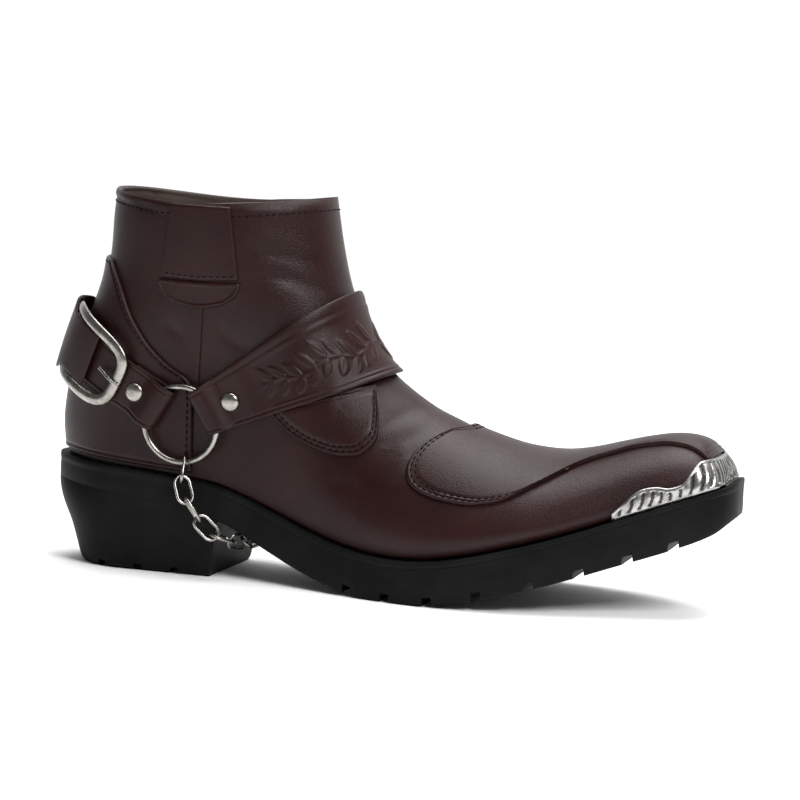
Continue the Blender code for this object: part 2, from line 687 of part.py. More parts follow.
def make_strap(name, edge, angles, finish, home):
    ends = {side: chord(side, angles[side]) for side in (OUTER, INNER)}
    base = fan(edge, ends)
    inner_rows, outer_rows = [], []
    across = shares(SPREAD - 1)
    columns = []
    for w in across:
        reach = {side: (ends[side](w) - edge(w)).length for side in (OUTER, INNER)}
        lead = [(-(reach[OUTER] - u), h) for u, h in strap_side(OUTER, angles[OUTER])]
        tail = [(reach[INNER] - u, h) for u, h in strap_side(INNER, angles[INNER])][::-1]
        start, stop = lead[-1][0], tail[0][0]
        turns = shares(STRAP_STEPS, -cover(-start / reach[OUTER]), cover(stop / reach[INNER]))[1:-1]
        middle = []
        for c in turns:
            side = INNER if c > 0 else OUTER
            v = 1 - math.cos(math.pi / 2 * abs(c))
            settled = smoothstep(TURNED_IN + 1, SETTLED, (1 - v) * reach[side])
            lift = MAIN_LIFT + (REST_LIFT - MAIN_LIFT) * settled
            middle.append((side * v * reach[side], lift + STRAP / 2))
        columns.append((w, reach, lead + middle + tail))
    for k in range(len(columns[0][2])):
        for rows, shift in ((inner_rows, -STRAP / 2), (outer_rows, STRAP / 2)):
            row = []
            for w, reach, line in columns:
                before, after = Vector(line[max(0, k - 1)]), Vector(line[min(len(line) - 1, k + 1)])
                run = (after - before).normalized()
                p, h = Vector(line[k]) + Vector((-run.y, run.x)) * shift
                c = cover(abs(p) / reach[INNER if p > 0 else OUTER]) * (1 if p > 0 else -1)
                row.append(above(base, c, w, h))
            rows.append(row)
    add(name, slab_mesh(name, inner_rows, outer_rows), finish, home)
    return base, ends


def strap_spot(strap, side, u, w, lift):
    """Point above a strap's base at a length from the ring's chord, and the normal there."""
    base, edge, ends = strap
    c = cover(1 - u / (ends[side](w) - edge(w)).length) * side
    normal = outward(base, c, w)
    return base(c, w) + normal * lift, normal


RIVET = ((4.2, 0.0), (4.3, 0.5), (3.4, 1.3), (1.5, 1.8))     # radius and height of a rivet's cap
SNAP = ((5.6, 0.0), (5.7, 0.8), (5.0, 1.7), (4.2, 1.9))
BUCKLE_NEAR, BUCKLE_FAR = 0.74, 0.10    # the buckle's ends as turns of the rear strap from the back
BUCKLE_SPREAD = 0.68                    # half its breadth as a share of the strap's
BUCKLE_WIRE, BUCKLE_LIFT, BUCKLE_STEPS = 1.5, 6.7, 22
PRONG = 0.8                             # prong radius
PRONG_ROOT, PRONG_TIP = 0.13, 0.03      # turns from the front bar back to the prong's root and on to its tip
# Leather loop round the buckle's back bar: turns from the back, and the lift of its inner face
LOOP = {
    "turn": (-0.53, -0.40, -0.27, -0.16, -0.10, -0.04, 0.04, 0.14, 0.30),
    "lift": (5.2, 6.2, 7.5, 8.5, 8.7, 8.4, 6.0, 4.4, 4.2),
}
LOOP_EDGE = 0.08                        # how far the loop stays inside the strap's edges, as a share
TOP_LIFT = MAIN_LIFT + STRAP            # upper face of a strap


def edge_point(point, first, last, w):
    """Point of the ridge or the back at a share of the way between two places."""
    return point(first + (last - first) * w)


def make_harness(leather, metal, home):
    straps = {}
    plans = (("instep_strap", ridge_point, STRAP_RIDGE, FRONT_CHORD),
             ("rear_strap", heel_point, STRAP_BACK, REAR_CHORD))
    for name, point, (first, last), angles in plans:
        edge = partial(edge_point, point, first, last)
        base, ends = make_strap(name, edge, angles, leather, home)
        straps[name] = base, edge, ends
        for side, end in ((OUTER, "outer"), (INNER, "inner")):
            spot, normal = strap_spot(straps[name], side, RIVET_AT, 0.5, TOP_LIFT + GAP + 0.2)
            turned(f"rivet_{name.split('_')[0]}_{end}", spot, normal, RIVET, 8, metal, home)
    for side, name in ((OUTER, "ring_outer"), (INNER, "ring_inner")):
        path = [ring_point(side, 360 * k / RING_STEPS) for k in range(RING_STEPS)]
        ups = [ring_frame(side)[3]] * RING_STEPS
        add(name, tube_mesh(name, wire_rings(path, RING_WIRE, 5, ups)), metal, home)
    make_buckle(straps["rear_strap"], leather, metal, home)


def make_buckle(strap, leather, metal, home):
    base = strap[0]
    middle, half = -(BUCKLE_NEAR + BUCKLE_FAR) / 2, (BUCKLE_NEAR - BUCKLE_FAR) / 2
    path, ups = [], []
    for a in (2 * math.pi * k / BUCKLE_STEPS for k in range(BUCKLE_STEPS)):
        c = middle + half * math.copysign(abs(math.cos(a)) ** 0.5, math.cos(a))
        w = 0.5 + BUCKLE_SPREAD * math.copysign(abs(math.sin(a)) ** 0.5, math.sin(a))
        path.append(above(base, c, w, BUCKLE_LIFT))
        ups.append(outward(base, c, w))
    add("buckle_frame", tube_mesh("buckle_frame", wire_rings(path, BUCKLE_WIRE, 5, ups)), metal, home)
    rest = BUCKLE_LIFT + BUCKLE_WIRE + PRONG + GAP
    line = [above(base, -BUCKLE_NEAR + PRONG_ROOT, 0.5, TOP_LIFT + PRONG + GAP),
            above(base, -BUCKLE_NEAR, 0.5, rest), above(base, -BUCKLE_NEAR - PRONG_TIP, 0.5, rest)]
    normal = outward(base, -BUCKLE_NEAR, 0.5)
    rings = []
    for i, here in enumerate(line):
        run = (line[min(i + 1, 2)] - line[max(i - 1, 0)]).normalized()
        out = run.cross(normal).normalized()
        rings.append([here + PRONG * (out * math.cos(a) + out.cross(run) * math.sin(a))
                      for a in (2 * math.pi * (k + 0.5) / 6 for k in range(6))])
    add("buckle_prong", loft_mesh("buckle_prong", rings), metal, home)
    across = shares(SPREAD - 1, LOOP_EDGE, 1 - LOOP_EDGE)
    stations = list(zip(LOOP["turn"], LOOP["lift"]))
    grids = [[[above(base, c, w, lift + thick) for w in across] for c, lift in stations]
             for thick in (0, STRAP)]
    add("buckle_loop", slab_mesh("buckle_loop", *grids), leather, home)


# Chain from ring to ring under the arch, in front of the heel
CHAIN_PATH = ((20.5, -42.0, 42.0), (27.0, -41.5, 30.5), (37.5, -38.5, 20.0), (45.5, -25.0, 16.8),
              (47.5, 0.0, 16.2), (47.0, 21.0, 16.6), (45.0, 36.0, 21.5), (39.5, 38.0, 32.0),
              (34.5, 37.0, 43.0))
LINK_ROLL, LINK_END_ROLL = 45, 30       # how far links are turned, to either side by turns
CHAIN_HANG = {OUTER: -84, INNER: -76}   # angle round each ring where the chain hangs


def make_chain(metal, home):
    path = [ring_point(OUTER, CHAIN_HANG[OUTER])] + [Vector(p) for p in CHAIN_PATH]
    path.append(ring_point(INNER, CHAIN_HANG[INNER]))
    lengths = [(b - a).length for a, b in zip(path, path[1:])]
    total = sum(lengths)
    hook = LINK_LONG - LINK_WIRE - RING_WIRE - 3 * GAP  # from the ring's wire to the first link's middle
    reach = 2 * (LINK_LONG - LINK_WIRE) - GAP           # from one link's middle to the next
    count = math.ceil((total - 2 * hook) / reach) + 1

    def spot(s):
        for a, b, length in zip(path, path[1:], lengths):
            if s <= length or b is path[-1]:
                return a + (b - a) * (s / length)
            s -= length

    for i in range(count):
        s = hook + (total - 2 * hook) * i / (count - 1)
        ahead, behind = spot(s + LINK_LONG * 0.8), spot(s - LINK_LONG * 0.8)
        run, centre = (ahead - behind).normalized(), (ahead + behind) / 2
        away = Vector((0, centre.y / 20, -1)).normalized()
        flat = (away - run * away.dot(run)).normalized()
        roll = LINK_END_ROLL if i in (0, count - 1) else LINK_ROLL
        turn = math.radians(roll if i % 2 else -roll)
        broad = flat * math.cos(turn) + run.cross(flat) * math.sin(turn)
        straight = LINK_LONG - LINK_WIDE
        loop = []
        for end in (1, -1):
            for a in shares(4, -math.pi / 2, math.pi / 2):
                loop.append(centre + end * (run * (straight + LINK_WIDE * math.cos(a))
                                            + broad * LINK_WIDE * math.sin(a)))
        name = f"chain_link_{i:02d}"
        ups = [run.cross(broad)] * len(loop)
        add(name, tube_mesh(name, wire_rings(loop, LINK_WIRE, 4, ups)), metal, home)


# Zip on the inner side
SLIDER = (((2.6, 133.2), (9.6, 133.2)), ((1.4, 142.4), (8.4, 142.4)))
SLIDER_LIFT, SLIDER_THICK = 2.2, 2.2
PULL_TOP, PULL_LIFT = (5.4, 131.6), 3.6     # hinge of the zip's pull in side view, and its height
PULL_LONG, PULL_WIDE, PULL_WIRE = 9.6, 3.2, 0.8


def pull_frame():
    """Hinge point of the zip's pull, its axis and the way it hangs."""
    x, z = PULL_TOP
    base = patch(INNER, ((x - 2, z), (x + 2, z)), ((x - 2, z + 4), (x + 2, z + 4)))
    normal = outward(base, 0.5, 0.0, 0.2)
    axis = (base(1, 0) - base(0, 0)).normalized()
    axis = (axis - normal * axis.dot(normal)).normalized()
    return base(0.5, 0.0) + normal * PULL_LIFT, axis, normal.cross(axis), normal


def make_zip(tape, metal, home):
    low = [(x - ZIP_HALF, z) for x, z in ZIP_LINE]
    high = [(x + ZIP_HALF, z) for x, z in ZIP_LINE]
    panel("zip_teeth", patch(INNER, low, high), shares(12), shares(1), tape, home, SEAT, 0.7)
    panel("zip_slider", patch(INNER, *SLIDER), shares(2), shares(2), metal, home, SLIDER_LIFT, SLIDER_THICK)
    hinge, axis, hang, normal = pull_frame()
    hang = -hang if hang.z > 0 else hang
    loop = []
    for end in (1, -1):
        for a in shares(4, -math.pi / 2, math.pi / 2):
            reach = PULL_LONG / 2 - PULL_WIDE + PULL_WIDE * math.cos(a)
            loop.append(hinge + hang * (PULL_LONG / 2 + end * reach) + axis * end * PULL_WIDE * math.sin(a))
    add("zip_pull", tube_mesh("zip_pull", wire_rings(loop, PULL_WIRE, 5, [normal] * len(loop))), metal, home)
    flap = patch(INNER, *SNAP_FLAP)
    spot = above(flap, 0.36, 0.58, SEAT + OVERLAY + GAP)
    turned("snap_cap", spot, outward(flap, 0.36, 0.58), SNAP, 12, metal, home)


# Toe plate: from the outer side round the toe to the inner side
PLATE = {
    "turn": (0.0, 0.32, 0.44, 0.55, 0.64, 0.74, 0.84, 0.93, 1.0),
    "top": (70.5, 69.5, 66.0, 60.5, 58.5, 58.5, 56.5, 51.0, 46.5),
}
PLATE_REACH, PLATE_THICK = 45.0, 0.9


def plate_base(a, b):
    back = PLATE_REACH * (1 - math.cos(math.pi / 2 * abs(a)))
    low = sole_top(TOE_X - back) + 2 * SEAT
    z = low + (table(PLATE, "top", abs(a), "turn") - low) * b
    return on_upper(front_x(z) - back, z, OUTER if a < 0 else INNER)


def make_plate(metal, home):
    panel("toe_plate", plate_base, shares(24, -1, 1), shares(3, 0.02, 1), metal, home, SEAT, PLATE_THICK)


def main():
    clear_scene()
    home, cutters = collection("biker_boot"), collection("cutters", hidden=True)
    leather = material("oxblood_leather", (0.058, 0.022, 0.022), 0.42)
    rubber = material("black_rubber", (0.02, 0.022, 0.021), 0.6)
    lining = material("insole_leather", (0.11, 0.07, 0.05), 0.7)
    nickel = material("nickel", (0.72, 0.70, 0.66), 0.3, 1.0)
    steel = material("zip_steel", (0.16, 0.17, 0.17), 0.4, 1.0)
    tape = material("zip_tape", (0.02, 0.02, 0.021), 0.7)
    make_upper(leather, home)
    make_sole(rubber, home, cutters)
    make_heel(rubber, home, cutters)
    make_insole(lining, home)
    make_panels(leather, home)
    make_harness(leather, nickel, home)
    make_chain(nickel, home)
    make_zip(tape, steel, home)
    make_plate(nickel, home)


main()
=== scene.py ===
"""Right biker boot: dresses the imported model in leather, rubber, nickel and stitching."""

import math

import bmesh
import bpy
import numpy as np
from mathutils import Matrix, Vector


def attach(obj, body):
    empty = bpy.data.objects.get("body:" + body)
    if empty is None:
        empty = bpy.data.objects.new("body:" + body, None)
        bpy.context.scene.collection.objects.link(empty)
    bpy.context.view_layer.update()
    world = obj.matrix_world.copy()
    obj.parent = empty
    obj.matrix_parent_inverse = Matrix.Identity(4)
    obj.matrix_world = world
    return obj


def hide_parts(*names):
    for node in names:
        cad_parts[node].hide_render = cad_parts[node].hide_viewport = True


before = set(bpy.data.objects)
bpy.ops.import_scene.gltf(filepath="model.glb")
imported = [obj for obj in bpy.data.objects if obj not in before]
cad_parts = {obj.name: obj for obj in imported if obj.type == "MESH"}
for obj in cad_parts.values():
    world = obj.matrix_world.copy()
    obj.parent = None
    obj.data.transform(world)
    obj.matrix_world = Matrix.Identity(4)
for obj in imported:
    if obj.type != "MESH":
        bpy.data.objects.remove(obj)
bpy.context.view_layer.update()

MM = 0.001
BODY = "boot"
OUTER, INNER = -1, 1
SIDES = {OUTER: "outer", INNER: "inner"}


# Shape of the boot in millimetres, the same values as in the part's source
def curve(keys, values):
    """Smooth function through values at keys."""
    k, v = np.array(keys, float), np.array(values, float)
    n = len(k)
    low, high = np.maximum(np.arange(n) - 1, 0), np.minimum(np.arange(n) + 1, n - 1)
    s = (v[high] - v[low]) / (k[high] - k[low])

    def value(x):
        x = np.asarray(x, float)
        i = np.clip(np.searchsorted(k, x, side="right") - 1, 0, n - 2)
        span = k[i + 1] - k[i]
        raw = (x - k[i]) / span
        t = np.clip(raw, 0, 1)
        a, b, c = t * t * (3 - 2 * t), t * (1 - t) ** 2 * span, t * t * (t - 1) * span
        y = v[i] * (1 - a) + v[i + 1] * a + s[i] * b + s[i + 1] * c
        y = np.where(raw < 0, v[0] + s[0] * (x - k[0]), y)
        return np.where(raw > 1, v[-1] + s[-1] * (x - k[-1]), y)
    return value


SOLE_ROWS = np.array((
    # x, top, bottom, outer half-width, inner half-width
    (-54.2, 50.0, 39.5, 24.0, 24.0), (-25.0, 48.0, 37.0, 31.0, 31.0), (5.0, 46.2, 34.0, 35.0, 34.0),
    (32.0, 43.0, 28.5, 34.0, 31.0), (46.0, 38.6, 22.5, 34.0, 29.0), (62.0, 32.6, 14.6, 35.5, 28.0),
    (80.0, 26.0, 7.2, 39.5, 30.0), (98.0, 21.4, 2.4, 45.0, 35.0), (115.0, 19.2, 0.2, 49.5, 41.0),
    (132.0, 19.2, 0.0, 52.5, 46.0), (152.0, 22.0, 2.6, 53.0, 49.5), (176.0, 28.2, 8.6, 50.0, 50.0),
    (198.0, 35.0, 15.2, 44.0, 47.5), (220.0, 43.0, 22.8, 36.5, 42.5), (243.0, 51.6, 31.0, 29.5, 36.0),
    (261.0, 58.2, 39.0, 24.5, 31.0), (269.0, 61.0, 46.0, 22.5, 28.5)))
SOLE_BACK, SOLE_TOE = SOLE_ROWS[0, 0], SOLE_ROWS[-1, 0]
sole_top, sole_low, sole_outer, sole_inner = (curve(SOLE_ROWS[:, 0], SOLE_ROWS[:, i]) for i in (1, 2, 3, 4))
RIDGE_X = (75.0, 78.0, 82.3, 86.4, 91.6, 98.8, 107.0, 118.0, 128.0, 139.0, 149.0, 166.0, 178.0, 189.0,
           201.0, 214.0, 226.0, 238.0, 247.0, 252.6, 257.6, 260.8, 262.6)
RIDGE_Z = (172.5, 156.5, 139.0, 128.0, 115.5, 104.4, 95.8, 87.6, 81.8, 77.0, 72.8, 68.0, 66.4, 66.4,
           68.4, 72.0, 75.2, 77.4, 77.2, 75.2, 70.6, 66.0, 60.2)
ridge_curve = curve(RIDGE_X, RIDGE_Z)
COLLAR_FRONT, TOE_X, COLLAR_SLOPE = RIDGE_X[0], RIDGE_X[-1], 6.0
BACK_Z = (44.0, 56.0, 67.0, 84.0, 101.0, 118.0, 133.0, 147.0, 163.0, 176.0)
back_x = curve(BACK_Z, (-49.6, -50.4, -51.2, -48.8, -43.8, -37.8, -33.0, -30.9, -30.0, -28.6))
shaft_width = curve(BACK_Z, (31.0, 32.5, 33.2, 33.6, 34.4, 36.2, 38.0, 39.6, 41.0, 41.8))
shaft_round = curve(BACK_Z, (33.0, 34.0, 35.0, 38.0, 42.0, 46.0, 49.0, 51.0, 52.0, 52.0))
INSTEP_X = 70.0
SECTION_X = (INSTEP_X, 110.0, 150.0, 190.0, 225.0, TOE_X)
crown_power = curve(SECTION_X, (1.9, 1.75, 1.8, 2.1, 2.6, 3.4))
ridge_shift = curve(SECTION_X, (0.0, 2.0, 3.0, 3.5, 4.0, 3.2))
SEAT, FLAT_SPOT, UPPER_INSET = 0.7, 0.35, 2.5
TOE_END, HEEL_END = (15.0, 2.6), (34.0, 2.1)  # radius and power of the sole's round ends in plan
TUCK_SHARE, TUCK_HEIGHT = 0.07, 0.24  # the upper draws in over the lowest quarter of its height
BLEND_LOW, BLEND_HIGH = 62.0, 122.0  # between these heights the foot turns into the shaft
ANKLE_X, BLEND_LEAN = 40.0, 0.6  # in front of the ankle the change comes higher up
BACK_POWER = 2.1
SHAFT_MIDDLE, FOOT_DEPTH = 22.0, 25.0  # middle of the shaft, and a depth inside the foot


def ridge_z(x):
    x = np.asarray(x, float)
    collar = RIDGE_Z[0] + COLLAR_SLOPE * (COLLAR_FRONT - x)
    return np.where(x < COLLAR_FRONT, collar, ridge_curve(np.minimum(x, TOE_X)))


def ridge_x(low, high, count):
    """Function from a height to the ridge's x, for a stretch where the ridge falls."""
    x = np.linspace(low, high, count)[::-1]
    z = ridge_z(x)
    return lambda at: np.interp(at, z, x)


shaft_front, toe_front = ridge_x(55, 190, 1400), ridge_x(240, TOE_X, 400)


def smooth(low, high, at):
    t = np.clip((np.asarray(at, float) - low) / (high - low), 0, 1)
    return t * t * (3 - 2 * t)


def close(depth, radius, power=2.0):
    """1 inside, falling to 0 at the edge as a round end does, over the last radius of depth."""
    left = np.clip(1 - np.maximum(depth, 0) / radius, 0, 1)
    return np.maximum(0, 1 - left ** power) ** (1 / power)


def plan_half(x, side, inset=0.0):
    wide = np.where(np.asarray(side) < 0, sole_outer(x), sole_inner(x)) - inset
    return wide * close(SOLE_TOE - inset - x, *TOE_END)


def sole_half(x, side):
    return plan_half(x, side) * close(x - SOLE_BACK, *HEEL_END)


def sole_bottom(x):
    return np.maximum(0.0, sole_low(x) - FLAT_SPOT)


def floats(*values):
    """Values as arrays of numbers in one shape."""
    return np.broadcast_arrays(*(np.asarray(v, float) for v in values))


def on_upper(x, z, side):
    """Points of the upper's outer face over its side view."""
    x, z, side = floats(x, z, side)
    low, high = sole_top(x), ridge_z(x)
    t = np.clip((z - low) / np.maximum(high - low, 0.01), 0, 1)
    tuck = 1 - TUCK_SHARE * np.maximum(0, 1 - t / TUCK_HEIGHT) ** 2
    foot = plan_half(x, side, UPPER_INSET) * tuck
    share = smooth(BLEND_LOW, BLEND_HIGH, z - BLEND_LEAN * np.maximum(0, x - ANKLE_X))
    wide = foot + (shaft_width(z) - foot) * share
    crown = np.maximum(0, 1 - t ** crown_power(x)) ** 0.5
    front = crown + (close(shaft_front(z) - x, shaft_round(z)) - crown) * share
    half = wide * front * close(x - back_x(z), shaft_round(z), BACK_POWER)
    middle = np.where(x > INSTEP_X, ridge_shift(np.maximum(x, INSTEP_X)) * t * t, 0)
    return np.stack([x, side * half + middle, z], -1)


# Lines and sheets on the upper
def along(points, share):
    """Points of a polyline at shares of its length, going straight on beyond its ends."""
    p = np.array(points, float)
    step = np.hypot(*np.diff(p, axis=0).T)
    at = np.concatenate([[0], np.cumsum(step)]) / step.sum()
    share = np.asarray(share, float)
    i = np.clip(np.searchsorted(at, share, side="right") - 1, 0, len(p) - 2)
    f = (share - at[i]) / (at[i + 1] - at[i])
    return p[i, 0] + (p[i + 1, 0] - p[i, 0]) * f, p[i, 1] + (p[i + 1, 1] - p[i, 1]) * f


def rounded(points, count, passes):
    """A polyline with its corners eased, for the edges of panels."""
    p = np.stack(along(points, np.linspace(0, 1, count)), -1)
    for _ in range(passes):
        p[1:-1] = (p[:-2] + 2 * p[1:-1] + p[2:]) / 4
    return p


def patch(side, low, high):
    """Sheet of one side between two lines of the side view."""
    def base(a, b):
        (x0, z0), (x1, z1) = along(low, a), along(high, a)
        return on_upper(x0 + (x1 - x0) * b, z0 + (z1 - z0) * b, side)
    return base


def fan(edge, outer, inner):
    """Sheet across the ridge or the back: 0 on that edge, -1 and 1 at its outer and inner ends."""
    def base(c, w):
        c, w = floats(c, w)
        (x0, z0), (xo, zo), (xi, zi) = edge(w), outer(w), inner(w)
        x1, z1 = np.where(c < 0, xo, xi), np.where(c < 0, zo, zi)
        turn = np.abs(c)
        v = np.where(turn < 1, 1 - np.cos(np.pi / 2 * np.minimum(turn, 1)), 1 + (turn - 1) * np.pi / 2)
        return on_upper(x0 + (x1 - x0) * v, z0 + (z1 - z0) * v, np.where(c < 0, OUTER, INNER))
    return base


def unit(v):
    return v / np.maximum(np.linalg.norm(v, axis=-1, keepdims=True), 1e-9)


def facing_out(points, normals):
    """Normals of the upper, turned away from the inside of the boot."""
    x, z = points[..., 0], points[..., 2]
    shaft = x < ANKLE_X
    inside = [np.where(shaft, SHAFT_MIDDLE, x - FOOT_DEPTH), 0 * x, np.where(shaft, z, z - FOOT_DEPTH)]
    out = ((points - np.stack(inside, -1)) * normals).sum(-1, keepdims=True) > 0
    return normals * np.where(out, 1, -1)


def outward(base, a, b, step=0.006):
    across = np.cross(base(a + step, b) - base(a - step, b), base(a, b + step) - base(a, b - step))
    return facing_out(base(a, b), unit(across))


def above(base, a, b, lift):
    a, b = floats(a, b)
    return base(a, b) + outward(base, a, b) * np.broadcast_to(lift, a.shape)[..., None]


def lengths_along(points, axis=0):
    """Length up to each point along an axis of a path or grid of points."""
    steps = np.linalg.norm(np.diff(points, axis=axis), axis=-1)
    return np.insert(np.cumsum(steps, axis=axis), 0, 0, axis=axis)


def circle(count):
    """Cosines and sines of even steps round a circle."""
    a = 2 * np.pi * np.arange(count) / count
    return np.cos(a), np.sin(a)


# Making objects
def add_object(name, data):
    made = bpy.data.objects.new(name, data)
    bpy.context.scene.collection.objects.link(made)
    return made


def new_object(name, points, faces, finish, smooth_angle=None):
    mesh = bpy.data.meshes.new(name)
    mesh.from_pydata([tuple(p) for p in np.asarray(points) * MM], [], faces)
    made = add_object(name, mesh)
    mesh.materials.append(finish)
    bm = bmesh.new()
    bm.from_mesh(mesh)
    bmesh.ops.recalc_face_normals(bm, faces=bm.faces)
    bm.to_mesh(mesh)
    bm.free()
    mesh.shade_smooth()
    if smooth_angle:
        mesh.set_sharp_from_angle(angle=math.radians(smooth_angle))
    return made


def place(made, slot, *nodes, body=BODY):
    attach(made, body)
    if nodes:
        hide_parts(*nodes)
    return made


def grid_faces(rows, columns, start=0, wrap=False):
    faces = []
    for i in range(rows - 1):
        for j in range(columns if wrap else columns - 1):
            k = (j + 1) % columns
            faces.append((start + i * columns + j, start + i * columns + k,
                          start + (i + 1) * columns + k, start + (i + 1) * columns + j))
    return faces


def closed_loft(name, rings, finish, smooth_angle=35):
    """Skin over rings of points, closed at both ends."""
    count, size = rings.shape[:2]
    faces = grid_faces(count, size, wrap=True)
    faces += [tuple(range(size))[::-1], tuple((count - 1) * size + i for i in range(size))]
    return new_object(name, rings.reshape(-1, 3), faces, finish, smooth_angle)


def slab(name, low, high, finish, smooth_angle=40):
    """Closed sheet between two grids of the same shape."""
    rows, columns = low.shape[:2]
    count = rows * columns
    faces = grid_faces(rows, columns) + grid_faces(rows, columns, count)
    ids = np.arange(count).reshape(rows, columns)
    rim = [*ids[:-1, 0], *ids[-1, :-1], *ids[:0:-1, -1], *ids[0, :0:-1]]
    faces += [(a, b, b + count, a + count) for a, b in zip(rim, rim[1:] + rim[:1])]
    points = np.concatenate([low.reshape(-1, 3), high.reshape(-1, 3)])
    return new_object(name, points, faces, finish, smooth_angle)


def raised(name, base, a, b, low, high, finish, slot, *nodes):
    """Closed sheet between two heights above a surface."""
    return place(slab(name, above(base, a, b, low), above(base, a, b, high), finish), slot, *nodes)


def edge_fall(grid, width):
    """Round rise from 0 at a grid's border to 1 at a width inside it, and the distance from the border."""
    down, right = lengths_along(grid, 0), lengths_along(grid, 1)
    distance = np.minimum(np.minimum(down, down[-1:] - down), np.minimum(right, right[:, -1:] - right))
    left = 1 - np.clip(distance / width, 0, 1)
    return np.sqrt(np.maximum(0, 1 - left ** 2)), distance


EDGE_STEPS = np.array((0.0, 0.12, 0.4, 0.8, 1.2, 1.6, 2.0, 2.4, 2.8, 3.2, 3.7, 4.2, 4.6, 5.0, 5.6))
NEAR_EDGE = np.array((0.0, 0.12, 0.4))


def eased(count, ends):
    """Shares from 0 to 1 with a few extra close to both ends."""
    near = ends * NEAR_EDGE
    return np.concatenate([near, np.linspace(ends, 1 - ends, count), 1 - near[::-1]])


def edged(count, long):
    """Shares from 0 to 1 over a length in mm, with steps fine enough for a seam at both ends."""
    ends = EDGE_STEPS / long
    return np.concatenate([ends[:-1], np.linspace(ends[-1], 1 - ends[-1], count), 1 - ends[:-1][::-1]])


def grid_of(a, b):
    """Shares along both ways of a sheet, as two grids."""
    return np.meshgrid(a, b, indexing="ij")


# Materials
def shader_material(name, colour, roughness, metallic=0.0, **inputs):
    made = bpy.data.materials.new(name)
    made.use_nodes = True
    shader = made.node_tree.nodes["Principled BSDF"]
    shader.inputs["Base Color"].default_value = (*colour, 1)
    shader.inputs["Roughness"].default_value = roughness
    shader.inputs["Metallic"].default_value = metallic
    for key, value in inputs.items():
        shader.inputs[key.replace("_", " ")].default_value = value
    return made, made.node_tree, shader


def node(tree, kind, **settings):
    made = tree.nodes.new(kind)
    for key, value in settings.items():
        if key in made.inputs:
            made.inputs[key].default_value = value
        else:
            setattr(made, key, value)
    return made


def object_coords(tree):
    return tree.nodes.new("ShaderNodeTexCoord").outputs["Object"]


def noise(tree, coords, scale, detail=4.0, roughness=0.55):
    made = node(tree, "ShaderNodeTexNoise", Scale=scale, Detail=detail, Roughness=roughness)
    tree.links.new(coords, made.inputs["Vector"])
    return made.outputs["Fac"]


def ramp(tree, source, low, high, start=0.3, stop=0.7):
    made = tree.nodes.new("ShaderNodeValToRGB")
    ends = made.color_ramp.elements
    ends[0].position, ends[1].position = start, stop
    ends[0].color, ends[1].color = (*low, 1), (*high, 1)
    tree.links.new(source, made.inputs["Fac"])
    return made.outputs["Color"]


def map_range(tree, source, low, high, start=0.0, stop=1.0):
    """Number that goes from low to high while its source goes from start to stop."""
    made = node(tree, "ShaderNodeMapRange", clamp=True)
    for key, value in (("From Min", start), ("From Max", stop), ("To Min", low), ("To Max", high)):
        made.inputs[key].default_value = value
    tree.links.new(source, made.inputs["Value"])
    return made.outputs["Result"]


def bump(tree, shader, layers):
    """Chain of bump layers: (height socket, strength, distance in metres)."""
    normal = None
    for height, strength, distance in layers:
        made = node(tree, "ShaderNodeBump", Strength=strength, Distance=distance)
        tree.links.new(height, made.inputs["Height"])
        if normal:
            tree.links.new(normal, made.inputs["Normal"])
        normal = made.outputs["Normal"]
    tree.links.new(normal, shader.inputs["Normal"])


def vary(tree, shader, coords, scale, rough, colour):
    """Patchy roughness between two values at a scale, and patchy colour."""
    tree.links.new(colour, shader.inputs["Base Color"])
    tree.links.new(map_range(tree, noise(tree, coords, scale), *rough), shader.inputs["Roughness"])


def make_leather(name, dark, light, rough=(0.30, 0.46), grain=1.0):
    made, tree, shader = shader_material(name, light, 0.42, Specular_IOR_Level=0.20)
    coords = object_coords(tree)
    cells = node(tree, "ShaderNodeTexVoronoi", Scale=950.0, feature="DISTANCE_TO_EDGE")
    bent = node(tree, "ShaderNodeMixRGB", blend_type="ADD", Fac=0.0015)
    wobble = node(tree, "ShaderNodeTexNoise", Scale=420.0, Detail=2.0)
    tree.links.new(coords, wobble.inputs["Vector"])
    tree.links.new(coords, bent.inputs["Color1"])
    tree.links.new(wobble.outputs["Color"], bent.inputs["Color2"])
    tree.links.new(bent.outputs["Color"], cells.inputs["Vector"])
    grain_height = ramp(tree, cells.outputs["Distance"], (0, 0, 0), (1, 1, 1), 0.0, 0.22)
    patches = noise(tree, coords, 24.0, 5.0, 0.6)
    vary(tree, shader, coords, 70.0, rough, ramp(tree, patches, dark, light, 0.32, 0.72))
    bump(tree, shader, [(noise(tree, coords, 34.0, 3.0), 0.16, 0.0012),
                        (grain_height, 0.22 * grain, 0.00025),
                        (noise(tree, coords, 1700.0, 2.0), 0.10 * grain, 0.0002)])
    return made


def make_rubber(name, dark, middle, light):
    made, tree, shader = shader_material(name, middle, 0.5, Specular_IOR_Level=0.06)
    coords = object_coords(tree)
    vary(tree, shader, coords, 60.0, (0.42, 0.62), ramp(tree, noise(tree, coords, 40.0, 5.0), dark, light))
    bump(tree, shader, [(noise(tree, coords, 900.0, 3.0), 0.18, 0.0003),
                        (noise(tree, coords, 60.0, 2.0), 0.12, 0.0008)])
    return made


def make_nickel(name, colour, dirt, rough):
    made, tree, shader = shader_material(name, colour, rough, 1.0)
    coords = object_coords(tree)
    worn = ramp(tree, noise(tree, coords, 160.0, 5.0, 0.65), dirt, colour, 0.28, 0.55)
    vary(tree, shader, coords, 300.0, (rough - 0.08, rough + 0.14), worn)
    bump(tree, shader, [(noise(tree, coords, 700.0, 3.0), 0.08, 0.0002)])
    return made


